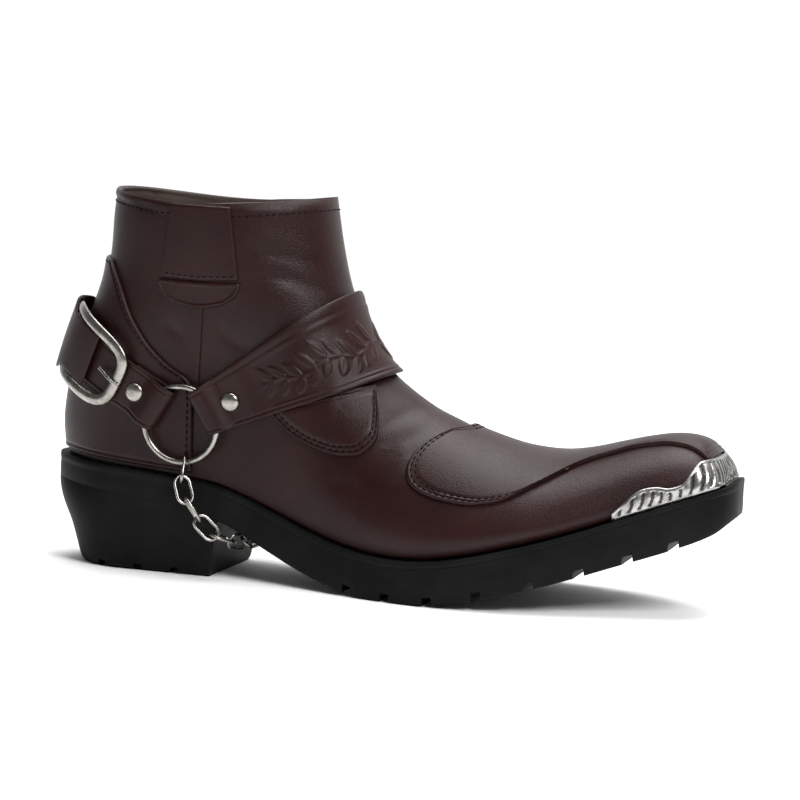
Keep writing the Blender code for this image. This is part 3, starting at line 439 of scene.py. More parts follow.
def make_cloth(name, dark, light, pitch):
    made, tree, shader = shader_material(name, light, 0.85, Specular_IOR_Level=0.1)
    coords = object_coords(tree)
    waves = node(tree, "ShaderNodeTexWave", Scale=pitch, Distortion=1.5, bands_direction="DIAGONAL")
    tree.links.new(coords, waves.inputs["Vector"])
    tree.links.new(ramp(tree, noise(tree, coords, 300.0), dark, light), shader.inputs["Base Color"])
    bump(tree, shader, [(waves.outputs["Fac"], 0.4, 0.0003)])
    return made


leather = make_leather("oxblood_leather", (0.0110, 0.0024, 0.0023), (0.0215, 0.0060, 0.0056))
strap_leather = make_leather("strap_leather", (0.0120, 0.0028, 0.0026), (0.0220, 0.0064, 0.0060),
                             (0.32, 0.48), 0.8)
lining = make_leather("lining_leather", (0.030, 0.019, 0.015), (0.060, 0.042, 0.034), (0.55, 0.7), 0.6)
rubber = make_rubber("moulded_rubber", (0.0030, 0.0033, 0.0032), (0.0060, 0.0064, 0.0062),
                     (0.0075, 0.0080, 0.0078))
nickel = make_nickel("worn_nickel", (0.34, 0.325, 0.30), (0.17, 0.16, 0.145), 0.24)
plate_metal = make_nickel("plate_metal", (0.40, 0.395, 0.38), (0.16, 0.155, 0.145), 0.26)
plate_dark = make_nickel("plate_patina", (0.07, 0.068, 0.062), (0.03, 0.029, 0.027), 0.4)
gunmetal = make_nickel("zip_gunmetal", (0.14, 0.145, 0.145), (0.06, 0.06, 0.06), 0.34)
tape = make_cloth("zip_tape", (0.007, 0.007, 0.007), (0.016, 0.016, 0.016), 900.0)
thread = make_cloth("waxed_thread", (0.0040, 0.0018, 0.0018), (0.0100, 0.0045, 0.0043), 2600.0)


# Upper, with its creases, collar binding and wall
LEVELS, HALF_LOOP, WALL = 130, 150, 2.4
COLLAR_BACK, COLLAR_DIP, DIP_POWER, RIDGE_FALL = 175.5, 4.5, 6, 1.2
HEEL_Z, LEVEL_RISE, BACK_SPREAD, FLOOR_FADE = 48.0, 7.6, 1.15, 1.6
BINDING_HIGH, BINDING_HALF, COLLAR_STITCH = 0.7, 2.0, 5.9
GUTTER_DEEP, GUTTER_AT, GUTTER_WIDE = 0.5, 4.3, 0.6  # groove below the collar's binding
FRONT_PATH = (262.6, 262.0, 260.8, 258.8, 256.0, 252.2, 246.0, 236.0, 222.0, 206.0, 190.0, 174.0, 159.0,
              144.0, 131.0, 119.5, 109.0, 100.0, 92.6, 86.8, 81.0, 74.45)

# Creases: side, start x and z, end x and z, bow, half-width, depth; a negative depth is a ridge
CREASES = (
    (OUTER, 96, 62, 126, 84, 3, 3.2, 0.55), (OUTER, 104, 55, 133, 76, 3, 3.0, 0.45),
    (OUTER, 112, 47, 124, 68, -2, 3.5, -0.5), (OUTER, 90, 50, 112, 44, 2, 4.0, 0.4),
    (INNER, 98, 60, 128, 82, 3, 3.2, 0.5), (INNER, 106, 50, 118, 70, -2, 3.5, -0.45),
    (OUTER, 46, 150, 74, 144, 3, 3.5, 1.0), (OUTER, 52, 140, 80, 131, 3, 3.0, 0.9),
    (OUTER, 48, 161, 72, 158, 1, 3.0, 0.8), (INNER, 46, 146, 76, 138, 3, 3.5, 0.55),
    (INNER, 52, 128, 82, 122, 2, 3.2, 0.5), (INNER, 34, 118, 66, 112, 3, 3.5, 0.45),
    (INNER, -38, 128, -18, 112, 2, 2.4, 0.5), (INNER, -40, 122, -20, 106, 2, 2.4, 0.5),
    (INNER, -42, 116, -24, 102, 1, 2.2, 0.4), (OUTER, -36, 126, -22, 112, 2, 2.4, 0.4),
    (OUTER, 6, 116, 20, 104, 2, 3.0, 0.6), (OUTER, 32, 118, 48, 106, -2, 3.0, 0.7),
    (OUTER, 148, 66, 168, 60, 2, 4.0, 0.35), (INNER, 146, 66, 164, 56, 2, 4.0, 0.35),
)
FADE_IN, FADE_OUT = (-0.12, 0.35), (0.65, 1.12)


def crease_depth(x, z, side):
    total = np.zeros_like(x)
    for where, x0, z0, x1, z1, bow, half, depth in CREASES:
        run = np.array((x1 - x0, z1 - z0), float)
        length = np.hypot(*run)
        run /= length
        u = ((x - x0) * run[0] + (z - z0) * run[1]) / length
        off = -(x - x0) * run[1] + (z - z0) * run[0] - bow * 4 * u * (1 - u)
        fade = smooth(*FADE_IN, u) * (1 - smooth(*FADE_OUT, u))
        total += np.where(side == where, depth * fade * np.exp(-(off / half) ** 2), 0)
    return total


def upper_grid():
    level = np.arange(LEVELS + 1)[:, None]
    turn = np.arange(2 * HALF_LOOP)[None, :] / HALF_LOOP
    side = np.where(turn <= 1, OUTER, INNER) + 0 * level
    s = (1 - np.cos(np.pi * np.minimum(turn, 2 - turn))) / 2
    share = level / LEVELS
    front_x = np.interp(share * (len(FRONT_PATH) - 1), np.arange(len(FRONT_PATH)), FRONT_PATH)
    front_z = np.where(level > 0, ridge_z(front_x), sole_top(TOE_X) + SEAT)
    low = sole_top(back_x(HEEL_Z)) + SEAT
    back_z = low + (COLLAR_BACK - low) * share ** BACK_SPREAD
    rear_x = back_x(back_z)
    x = rear_x + (front_x - rear_x) * s
    floor = sole_top(x) + SEAT
    base = sole_top(rear_x) + SEAT + (sole_top(front_x) - sole_top(rear_x)) * s
    z = back_z + (front_z - back_z) * s + (floor - base) * (1 - share) ** FLOOR_FADE
    z = z - COLLAR_DIP * share ** DIP_POWER * np.sin(np.pi * s)
    below = floor + (ridge_z(x) - floor) / (1 + RIDGE_FALL * (1 - s))
    z = np.where(level > 0, np.maximum(floor + share * LEVEL_RISE, np.minimum(z, below)), floor)
    return back_x(z) + (front_x - back_x(z)) * s, z, side


def make_upper():
    """Makes the upper and returns the points and normals of the seam below its collar."""
    x, z, side = upper_grid()
    points = on_upper(x, z, side)
    around = np.roll(points, -1, 1) - np.roll(points, 1, 1)
    normal = facing_out(points, unit(np.cross(around, np.gradient(points, axis=0))))
    from_collar = lengths_along(points[::-1])[::-1]
    binding = BINDING_HIGH * np.sqrt(np.maximum(0, 1 - ((from_collar - BINDING_HALF) / BINDING_HALF) ** 2))
    binding -= GUTTER_DEEP * np.exp(-((from_collar - GUTTER_AT) / GUTTER_WIDE) ** 2)
    lift = binding - crease_depth(x, z, side)
    lift[0] = 0
    points = points + normal * lift[..., None]
    rows, columns = x.shape
    seam = []
    for source in (points, normal):
        seam.append(np.array([[np.interp(COLLAR_STITCH, from_collar[::-1, j], source[::-1, j, k])
                               for k in range(3)] for j in range(columns)]))
    made = new_object("upper_leather", points.reshape(-1, 3), grid_faces(rows, columns, wrap=True), leather)
    made.data.materials.append(lining)
    shell = made.modifiers.new("wall", "SOLIDIFY")
    shell.thickness, shell.offset, shell.material_offset = WALL * MM, -1, 1
    place(made, "leather", "upper")
    return seam[0], unit(seam[1])


collar_row = make_upper()


# Sole and heel
GROOVES, GROOVE_WIDE, GROOVE_DEEP = (102.0, 121.0, 141.0, 163.0, 185.0, 206.0, 226.0, 245.0), 4.2, 3.4
GROOVE_EDGES = (0.92, 1.12)  # where a groove's walls stand, in half-widths
SOLE_STATIONS, SOLE_END_TURN = 190, 0.05
HOLLOW_DEEP, HOLLOW_SHARE = 1.1, 0.3  # how far the sole's wall lies in below its lip
TREAD_IN, TREAD_SHARE, TREAD_START = 11.0, 0.4, 95.0
HEEL_SHARE = (0.0, 0.25, 0.55, 0.92, 1.0)
heel_back = curve(HEEL_SHARE, (-53.0, -50.4, -46.0, -41.6, -40.4))
heel_breast = curve(HEEL_SHARE, (36.0, 34.6, 33.0, 31.2, 30.6))
heel_half = curve(HEEL_SHARE, (33.0, 31.8, 30.4, 29.0, 28.0))
HEEL_GROOVES, HEEL_GROOVE_WIDE, HEEL_GROOVE_DEEP = (-22.0, -4.0, 14.0), 3.6, 3.0
FLUSH_TO, FLUSH_BACK, FLUSH_SIDE = 0.55, 0.4, 0.3  # the heel's top meets the sole's outline
HEEL_ROUND, HEEL_POWER, HEEL_EDGE = 31.0, 2.1, 1.3


def with_grooves(stations, grooves, wide):
    near, far = GROOVE_EDGES
    extra = [g + k * wide / 2 for g in grooves for k in (-far, -near, near, far)]
    return np.array(sorted(set(np.round(np.concatenate([stations, extra]), 3))))


def groove_rise(x, grooves, wide, deep):
    rise = np.zeros_like(x)
    for g in grooves:
        rise = np.maximum(rise, deep * (1 - smooth(0.9, GROOVE_EDGES[1], np.abs(x - g) / (wide / 2))))
    return rise


def make_outsole():
    a = np.linspace(SOLE_END_TURN, np.pi - SOLE_END_TURN, SOLE_STATIONS)
    x = with_grooves(SOLE_BACK + (SOLE_TOE - SOLE_BACK) * (1 - np.cos(a)) / 2, GROOVES, GROOVE_WIDE)
    top, low = sole_top(x), sole_bottom(x)
    tread = low + np.where(x > TREAD_START, groove_rise(x, GROOVES, GROOVE_WIDE, GROOVE_DEEP), 0)
    soft = 0.06 + 0.94 * smooth(33, 42, x)
    rings = []
    for side in SIDES:
        wide = sole_half(x, side)
        deep = np.minimum(HOLLOW_DEEP, wide * HOLLOW_SHARE) * (0.4 + 0.6 * smooth(20, 60, x))
        inner = np.maximum(wide - TREAD_IN, wide * TREAD_SHARE)
        foot = wide - deep * 0.6
        # half-width and height of lines from the top's inner edge out over the lip and down to the tread
        edge = [(inner, top - 0.1), (wide - 0.9, top), (wide - 0.25, top - 0.25), (wide, top - 0.9),
                (wide, top - 2.2), (wide - 0.3, top - 2.7), (wide - deep, top - 3.2),
                (wide - deep * 1.05, top - 4.0), (wide - deep * 0.75, (top + low) / 2),
                (foot, tread + 1.7 * soft), (foot - 0.5 * soft, tread + 0.6 * soft),
                (foot - 1.6 * soft, tread), (inner, tread)]
        half = [np.stack([x, side * np.maximum(y, 0.4), z], -1) for y, z in edge]
        rings += half if side == OUTER else half[::-1]
    place(closed_loft("outsole_rubber", np.stack(rings, 1), rubber), "rubber", "outsole")


def make_heel():
    share = np.concatenate([[0.0, 0.02], np.linspace(0.06, 0.9, 18), [0.93, 0.95, 0.97, 0.985, 0.995, 1.0]])
    back, breast = heel_back(1.0), heel_breast(1.0)
    even = back + (breast - back) * (1 - np.cos(np.linspace(0, np.pi / 2, 42)))
    tread = with_grooves(even, HEEL_GROOVES, HEEL_GROOVE_WIDE)
    rise = groove_rise(tread, HEEL_GROOVES, HEEL_GROOVE_WIDE, HEEL_GROOVE_DEEP)
    rings = []
    for h in share:
        flush = max(0.0, 1 - h / FLUSH_TO) ** 2
        rear_end = heel_back(h) + (SOLE_BACK + FLUSH_BACK - heel_back(0.0)) * flush
        x = rear_end + (heel_breast(h) - rear_end) * (tread - back) / (breast - back)
        own = heel_half(h) * close(x - rear_end, HEEL_ROUND, HEEL_POWER)
        own = own - HEEL_EDGE * smooth(0.955, 1.0, h) * close(x - rear_end, 3.0)
        seat = sole_bottom(x) - 0.05
        z = np.maximum(seat * (1 - h), np.minimum(rise, seat))
        ring = []
        for side in SIDES:
            wide = own + ((sole_half(x, side) - FLUSH_SIDE) * close(x - rear_end, 1.5) - own) * flush
            ring.append(np.stack([x, side * wide, z], -1))
        rings.append(np.concatenate([ring[0][::-1], ring[1][1:]]))
    place(closed_loft("heel_block", np.stack(rings), rubber), "rubber", "heel")


make_outsole()
make_heel()
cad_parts["insole"].data.materials.clear()
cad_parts["insole"].data.materials.append(lining)


# Panels sewn onto the upper, as lines of its side view
PANEL_TOP, COUNTER_TOP, PAD_TOP, TAB_TOP, BASE_TOP = 1.9, 2.0, 1.8, 1.5, 1.8
PANEL_UNDER, PANEL_EDGE, PANEL_ROUND, FEATHER = 0.1, 0.25, 1.3, 1.8
VAMP_INSETS, COUNTER_INSET, PAD_INSETS = (2.4, 4.6), 2.6, (2.2, 4.4)
CHANNEL_DEEP, CHANNEL_WIDE, PIPING_STEP, PAD_PUFF = 0.34, 0.55, 0.55, 0.9


def panel(name, node_name, base, a, b, top, puff=None):
    """Leather sheet on the upper, with a rounded edge; puff adds height by distance from the edge."""
    a, b = grid_of(a, b)
    fall, distance = edge_fall(base(a, b), PANEL_ROUND)
    lift = PANEL_UNDER + PANEL_EDGE + (top - PANEL_UNDER - PANEL_EDGE) * fall
    if puff:
        lift = lift + puff(distance)
    raised(name, base, a, b, PANEL_UNDER, lift, leather, "leather", node_name)


def feather(low, high):
    x = np.linspace(low, high, 13)
    return list(zip(x, sole_top(x) + FEATHER))


def ridge_line(low, high):
    return lambda w: (low + (high - low) * w, ridge_z(low + (high - low) * w))


def back_line(low, high):
    return lambda w: (back_x(low + (high - low) * w), low + (high - low) * w)


def line(points, passes):
    eased_points = rounded(points, 160, passes)
    return lambda w: along(eased_points, w)


def channels(*insets):
    """Sunk lines that rows of stitches lie in, by distance from a sheet's edge."""
    return lambda d: sum(-CHANNEL_DEEP * np.exp(-((d - inset) / CHANNEL_WIDE) ** 2) for inset in insets)


def piped(d):
    """Raised rim with a step down behind it."""
    return -PIPING_STEP * smooth(1.3, 2.0, d)


def padded(d):
    return PAD_PUFF * smooth(1.0, 8.0, d) + channels(*PAD_INSETS)(d)


VAMP_OUTER = ((138.5, 74.2), (131, 70.6), (126, 65), (124, 58.5), (126, 52.6), (132, 49), (141.5, 46.4),
              (156.5, 45), (170, 47.5), (183.5, 55.2), (195.5, 62.5), (206, 67), (222, 72.6), (236, 75.4),
              (246, 75), (252, 72.8), (256, 69.6))
VAMP_INNER = feather(112.5, 206) + [(214, 46), (219, 55), (228, 61.5), (237, 65), (246, 69.5), (252, 71.2),
                                    (256, 69.6)]
COUNTER_OUTER = ((-24, 142), (-17.5, 133.7), (-8.5, 116.9), (0.5, 104.5), (9.5, 96.3), (20, 91), (21.5, 87),
                 (21.5, 47.6))
COUNTER_INNER = ((1.5, 141.5), (3, 49.4))
PADS = {
    OUTER: (((57, 79), (69, 69.5), (80, 64.3), (92, 61.6), (103, 62.3), (109.5, 69), (108, 79), (103.5, 90)),
            ((59, 84), (102.5, 93))),
    INNER: (((47, 74), (66, 68), (84, 64), (94, 66.5), (96.5, 72), (94, 81), (90, 86.5)),
            ((50, 80.5), (88, 90))),
}
PULL_TAB = (((6, 137.2), (24.5, 136.3), (43, 137.4)), ((10.5, 170.7), (38.5, 170.2)))
TAB_BASE = (((4.5, 135), (6, 129.5), (13, 125), (24.5, 123.5), (36, 125.5), (42.5, 130), (44, 135.5)),
            ((5.5, 136.2), (24.5, 135.8), (43, 136.2)))
ZIP_TAB = (((14, 127), (15.5, 123.4), (20.5, 122), (25.5, 123.6), (27, 127)), ((14, 168), (27, 168.3)))
SNAP_FLAP = (((-23, 146.5), (-19, 144.3), (8, 144.3), (11.5, 147)), ((-23, 171.3), (11.5, 168.6)))
vamp = fan(ridge_line(143, 257.2), line(VAMP_OUTER, 16), line(VAMP_INNER, 8))
counter = fan(back_line(143.5, 52.4), line(COUNTER_OUTER, 40), line(COUNTER_INNER, 40))
pads = {side: patch(side, rounded(PADS[side][0], 120, 16), PADS[side][1]) for side in SIDES}
pull_tab = patch(OUTER, *PULL_TAB)
tab_base = patch(OUTER, rounded(TAB_BASE[0], 120, 50), rounded(TAB_BASE[1], 60, 4))
zip_tab = patch(INNER, rounded(ZIP_TAB[0], 120, 60), ZIP_TAB[1])
snap_flap = patch(INNER, rounded(SNAP_FLAP[0], 120, 6), SNAP_FLAP[1])
panel("vamp_leather", "vamp_panel", vamp, 2 * edged(110, 300) - 1, edged(100, 130), PANEL_TOP,
      channels(*VAMP_INSETS))
panel("counter_leather", "counter", counter, 2 * edged(110, 340) - 1, edged(80, 110), COUNTER_TOP,
      channels(COUNTER_INSET))
for side, label in SIDES.items():
    panel(f"pad_{label}_leather", f"pad_{label}", pads[side], edged(60, 75), edged(20, 26), PAD_TOP, padded)
panel("pull_tab_leather", "pull_tab", pull_tab, eased(50, 0.02), eased(60, 0.02), TAB_TOP)
panel("tab_base_leather", "tab_base", tab_base, edged(60, 50), edged(10, 13), BASE_TOP, piped)
panel("zip_tab_leather", "zip_tab", zip_tab, eased(30, 0.04), eased(60, 0.02), TAB_TOP)
panel("snap_flap_leather", "snap_flap", snap_flap, eased(50, 0.02), eased(40, 0.03), TAB_TOP)

# Lap of the side seam below the pull tab
SEAM = ((26.2, 124.5), (24.9, 106), (23.9, 88))
SEAM_LAP, SEAM_STEP, SEAM_SUNK, SEAM_LOW, SEAM_DROP = 9.0, 1.0, 0.1, -0.3, 0.3


def make_seam():
    front = rounded(SEAM, 60, 10)
    base = patch(OUTER, front - (SEAM_LAP, 0), front)
    a, b = grid_of(np.linspace(0, 1, 60), np.concatenate([np.linspace(0, 0.97, 12), [0.99, 1.0]]))
    lift = (SEAM_STEP + SEAM_SUNK) * smooth(0, 0.9, b) - SEAM_SUNK - SEAM_DROP * smooth(0.97, 1.0, b)
    raised("seam_lap_leather", base, a, b, SEAM_LOW, lift, leather, "leather")


make_seam()


# Harness straps, rings, rivets and buckle
RINGS = {OUTER: (17.5, 70.5), INNER: (24.6, 78.5)}
FRONT_CHORD = {OUTER: (70, -9), INNER: (68, -8)}
REAR_CHORD = {OUTER: (110, 187), INNER: (125, 206)}
RING_RADIUS, RING_WIRE, RING_CLEAR = 17.4, 1.4, 0.5
STRAP, STRAP_WIDE, UNDER_LIFT, MAIN_LIFT, REST_LIFT = 1.2, 22.0, 2.1, 3.6, 2.5
FOLD, POCKET, RAMP, TURNED_IN, SETTLED, RIVET_AT = -0.6, 2.0, 12.0, 18.5, 28.0, 12.6
TOP_LIFT = MAIN_LIFT + STRAP
STRAP_ROUND, CREASE_DEEP, CREASE_IN, CREASE_WIDE = 0.8, 0.28, 2.0, 0.35


def ring_spot(side, degrees):
    x, z = RINGS[side]
    a = np.radians(degrees)
    return x + RING_RADIUS * np.cos(a), z + RING_RADIUS * np.sin(a)


def ring_frame(side):
    feet = on_upper(*ring_spot(side, 15.0 * np.arange(24)), side)
    up, fore = unit(feet[6] - feet[18]), unit(feet[0] - feet[12])
    normal = unit(np.cross(fore, up)) * -side
    up = unit(up - normal * up.dot(normal))
    fore = np.cross(normal, up) * side
    middle = on_upper(*RINGS[side], side)
    reach = max(((feet - middle) @ normal).max(), 0)
    return middle + normal * (reach + UNDER_LIFT + STRAP + RING_CLEAR + RING_WIRE), fore, up, normal


RING_FRAMES = {side: ring_frame(side) for side in SIDES}


def ring_point(side, degrees):
    centre, fore, up, _ = RING_FRAMES[side]
    a = np.radians(np.asarray(degrees, float))[..., None]
    return centre + RING_RADIUS * (fore * np.cos(a) + up * np.sin(a))


def ring_height(side, angles):
    spots = ring_point(side, np.linspace(*angles, 7))
    return ((spots - on_upper(spots[:, 0], spots[:, 2], side)) @ RING_FRAMES[side][3]).max()


def chord(side, angles):
    (x0, z0), (x1, z1) = (ring_spot(side, a) for a in angles)
    return lambda w: (x0 + (x1 - x0) * w, z0 + (z1 - z0) * w)


def cover(v):
    """Turn of a fan that covers a share of its reach."""
    v = np.asarray(v, float)
    return np.where(v < 1, np.arccos(1 - np.clip(v, 0, 1)) * 2 / np.pi, 1 + (v - 1) * 2 / np.pi)


def strap_end(side, angles):
    """Middle line of a strap's end, from its turned-in tip: (length from the ring's chord, lift)."""
    low = UNDER_LIFT + STRAP / 2
    high = ring_height(side, angles) + RING_WIRE + RING_CLEAR + STRAP / 2
    turn, middle = (high - low) / 2, (high + low) / 2
    a = np.linspace(0, np.pi, 15)
    fold = np.stack([FOLD - turn * np.sin(a), middle - turn * np.cos(a)], -1)
    u = np.linspace(0.4, RAMP, 26)
    main = MAIN_LIFT + STRAP / 2
    ramp_line = np.stack([u, high + (main - high) * smooth(POCKET, RAMP, u)], -1)
    tip = np.stack([np.linspace(TURNED_IN, 0.4, 12), np.full(12, low)], -1)
    return np.concatenate([tip, fold, ramp_line])


class Strap:
    """Harness strap across the ridge or the back, folded round a ring at both ends."""
    def __init__(self, edge, angles):
        self.edge = edge
        self.ends = {side: chord(side, angles[side]) for side in SIDES}
        self.profiles = {side: strap_end(side, angles[side]) for side in SIDES}
        self.base = fan(edge, self.ends[OUTER], self.ends[INNER])

    def reach(self, side, w):
        (x0, z0), (x1, z1) = self.edge(w), self.ends[side](w)
        return np.hypot(x1 - x0, z1 - z0)

    def turn_at(self, side, u, w):
        """Turn of the fan at a length from the ring's chord."""
        return cover(1 - u / self.reach(side, w)) * side

    def path(self, outer, inner):
        """Middle line as (length from the edge, lift), for the reaches of its outer and inner ends."""
        lead = self.profiles[OUTER] - (outer, 0)
        tail = (self.profiles[INNER] * (-1, 1) + (inner, 0))[::-1]
        c = np.linspace(-cover(-lead[-1, 0] / outer), cover(tail[0, 0] / inner), 360)[1:-1]
        v = 1 - np.cos(np.pi / 2 * np.abs(c))
        p = np.where(c > 0, v * inner, -v * outer)
        left = np.where(c > 0, inner, outer) - np.abs(p)
        lift = MAIN_LIFT + (REST_LIFT - MAIN_LIFT) * smooth(TURNED_IN + 1, SETTLED, left)
        return np.concatenate([lead, np.stack([p, lift + STRAP / 2], -1), tail])

    def piece(self, name, node_name, tooling=None):
        low, high = [], []
        for w in eased(60, 0.03):
            outer, inner = (float(self.reach(side, w)) for side in SIDES)
            path = self.path(outer, inner)
            run = unit(np.gradient(path, axis=0))
            side_step = np.stack([-run[:, 1], run[:, 0]], -1)
            edge = min(w, 1 - w) * STRAP_WIDE
            half = STRAP / 2 * math.sqrt(max(0.0, 1 - max(0.0, 1 - edge / STRAP_ROUND) ** 2))
            crease = CREASE_DEEP * math.exp(-((edge - CREASE_IN) / CREASE_WIDE) ** 2)
            for rows, shift in ((low, -half), (high, half - crease)):
                p, lift = (path + side_step * shift).T
                c = cover(np.abs(p) / np.where(p > 0, inner, outer)) * np.sign(p)
                if tooling and rows is high:
                    lift = lift + tooling(c, w, edge)
                rows.append(above(self.base, c, w, lift))
        place(slab(name, np.stack(low), np.stack(high), strap_leather), "leather", node_name)


instep = Strap(ridge_line(84.6, 107.5), FRONT_CHORD)
rear = Strap(back_line(115.5, 93.5), REAR_CHORD)
instep_turn = np.linspace(-1, 1, 400)
instep_length = lengths_along(instep.base(instep_turn, 0.5))
instep_length -= np.interp(0, instep_turn, instep_length)
SPRAY_END, LEAF_STEP, LEAF_LONG, LEAF_WIDE, LEAF_HIGH, LEAF_TURN = 60.0, 6.4, 8.4, 1.75, 0.62, 42.0
STEM_HIGH, STEM_WIDE, STEM_WAVE, WAVE_LONG = 0.5, 0.55, 1.1, 4 * LEAF_STEP
VEIN_DEEP, VEIN_WIDE, GROUND_DEEP = 0.25, 0.32, 0.28


def leaf_spray(c, w, edge):
    """Tooled vine along the strap: a waved stem with leaves to both sides, on a stamped ground."""
    along_strap, across = np.interp(c, instep_turn, instep_length), (w - 0.5) * STRAP_WIDE
    ends = 1 - smooth(SPRAY_END, SPRAY_END + 5, np.abs(along_strap))
    stem = STEM_WAVE * np.sin(2 * np.pi * along_strap / WAVE_LONG)
    height = STEM_HIGH * np.exp(-((across - stem) / STEM_WIDE) ** 2)
    for n in range(-9, 10):
        start = n * LEAF_STEP
        u0 = (along_strap - start) * (1 if n >= 0 else -1)
        v0 = across - STEM_WAVE * math.sin(2 * math.pi * start / WAVE_LONG)
        for angle in (math.radians(-LEAF_TURN), math.radians(LEAF_TURN)):
            u = u0 * math.cos(angle) + v0 * math.sin(angle)
            v = -u0 * math.sin(angle) + v0 * math.cos(angle)
            t = np.clip(u / LEAF_LONG, 0, 1)
            half = LEAF_WIDE * np.sin(np.pi * t ** 0.8) + 1e-3
            body = np.maximum(0, 1 - (v / half) ** 2) ** 0.5 * smooth(0, 0.12, t) * (1 - smooth(0.9, 1, t))
            vein = VEIN_DEEP * np.exp(-(v / VEIN_WIDE) ** 2) * smooth(0.1, 0.3, t)
            height = np.maximum(height, (LEAF_HIGH - vein) * body)
    return ends * (height * smooth(2.4, 3.2, edge) - GROUND_DEEP * smooth(2.8, 3.6, edge))


instep.piece("instep_strap_leather", "instep_strap", leaf_spray)
rear.piece("rear_strap_leather", "rear_strap")


def rings_along(path, radius, out, up, sides):
    """Rings of points round a path, each spread by its own out and up directions."""
    cosine, sine = (part[None, :, None] for part in circle(sides))
    radius = np.broadcast_to(radius, len(path))[:, None, None]
    return path[:, None] + radius * (out[:, None] * cosine + up[:, None] * sine)


def wire(name, node_name, path, ups, radius, sides, closed=True, flat=1.0, look=(nickel, "nickel"),
         body=BODY):
    """Round or flattened wire along a path, turned by the given up directions."""
    run = unit(np.roll(path, -1, 0) - np.roll(path, 1, 0)) if closed else unit(np.gradient(path, axis=0))
    out = unit(np.cross(run, ups))
    rings = rings_along(path, radius, out, np.cross(out, run) * flat, sides)
    finish, slot = look
    if closed:
        count = len(path) * sides
        faces = [tuple(i % count for i in face) for face in grid_faces(len(path) + 1, sides, wrap=True)]
        made = new_object(name, rings.reshape(-1, 3), faces, finish)
    else:
        made = closed_loft(name, rings, finish)
    place(made, slot, node_name, body=body)


def turned(name, node_name, base, a, b, lift, profile):
    """Round nickel piece on a surface, from (radius, height) points."""
    centre, normal = above(base, a, b, lift), outward(base, a, b)
    first = unit(np.cross(normal, (0.3, 0.2, 1.0)))
    cosine, sine = (part[:, None] for part in circle(48))
    spokes = first * cosine + np.cross(normal, first) * sine
    rings = np.stack([centre + normal * h + spokes * r for r, h in profile])
    place(closed_loft(name, rings, nickel, 30), "nickel", node_name)


RIVET = ((4.0, -0.5), (4.25, -0.1), (4.3, 0.35), (4.1, 0.75), (3.6, 1.1), (2.9, 1.4), (2.0, 1.65),
         (1.0, 1.78), (0.15, 1.8))
RIVET_LIFT = TOP_LIFT + 0.5
for strap, label in ((instep, "instep"), (rear, "rear")):
    for side, end in SIDES.items():
        rivet, c = f"rivet_{label}_{end}", strap.turn_at(side, RIVET_AT, 0.5)
        turned(f"{rivet}_nickel", rivet, strap.base, c, 0.5, RIVET_LIFT, RIVET)
for side, label in SIDES.items():
    path = ring_point(side, np.linspace(0, 360, 97)[:-1])
    wire(f"ring_{label}_nickel", f"ring_{label}", path, RING_FRAMES[side][3], RING_WIRE, 20)

BUCKLE_NEAR, BUCKLE_FAR, BUCKLE_SPREAD, BUCKLE_LIFT = 0.74, 0.10, 0.68, 6.7
BUCKLE_WIRE, BUCKLE_BAR, PRONG, PRONG_ROOT, PRONG_TIP, PRONG_CLEAR = 1.5, 2.6, 0.8, 0.13, 0.03, 0.2
LOOP_TURN = (-0.53, -0.40, -0.27, -0.16, -0.10, -0.04, 0.04, 0.14, 0.30)
loop_lift = curve(LOOP_TURN, (5.2, 6.2, 7.5, 8.5, 8.7, 8.4, 6.0, 4.4, 4.2))
LOOP_HALF, LOOP_FLARE, LOOP_ROUND = 0.56, 0.17, 0.8  # the leather is widest inside the frame


def make_buckle():
    cosine, sine = circle(120)
    middle, half = -(BUCKLE_NEAR + BUCKLE_FAR) / 2, (BUCKLE_NEAR - BUCKLE_FAR) / 2
    c = middle + half * np.sign(cosine) * np.abs(cosine) ** 0.5
    w = 0.5 + BUCKLE_SPREAD * np.sign(sine) * np.abs(sine) ** 0.5
    path = above(rear.base, c, w, BUCKLE_LIFT)
    wire("buckle_frame_nickel", "buckle_frame", path, outward(rear.base, c, w), BUCKLE_BAR, 20,
         flat=BUCKLE_WIRE / BUCKLE_BAR)
    root, rest = (lift + PRONG + PRONG_CLEAR for lift in (TOP_LIFT, BUCKLE_LIFT + BUCKLE_WIRE))
    t = np.linspace(0, 1, 24)
    c, w = -BUCKLE_NEAR + PRONG_ROOT - (PRONG_ROOT + PRONG_TIP) * t, np.full(24, 0.5)
    path = above(rear.base, c, w, root + (rest - root) * smooth(0.0, 0.85, t))
    tapered = PRONG * (1 - 0.35 * t ** 3)
    wire("buckle_prong_nickel", "buckle_prong", path, outward(rear.base, c, w), tapered, 14, closed=False)
    c, w = grid_of(LOOP_TURN[0] + (LOOP_TURN[-1] - LOOP_TURN[0]) * eased(80, 0.02), 2 * eased(36, 0.03) - 1)
    w = 0.5 + w * (LOOP_HALF + LOOP_FLARE * smooth(-0.25, -0.15, c) * (1 - smooth(0.02, 0.16, c)))
    fall, _ = edge_fall(above(rear.base, c, w, loop_lift(c)), LOOP_ROUND)
    middle, half = loop_lift(c) + STRAP / 2, STRAP / 2 * fall
    raised("buckle_loop_leather", rear.base, c, w, middle - half, middle + half, strap_leather,
           "leather", "buckle_loop")


make_buckle()


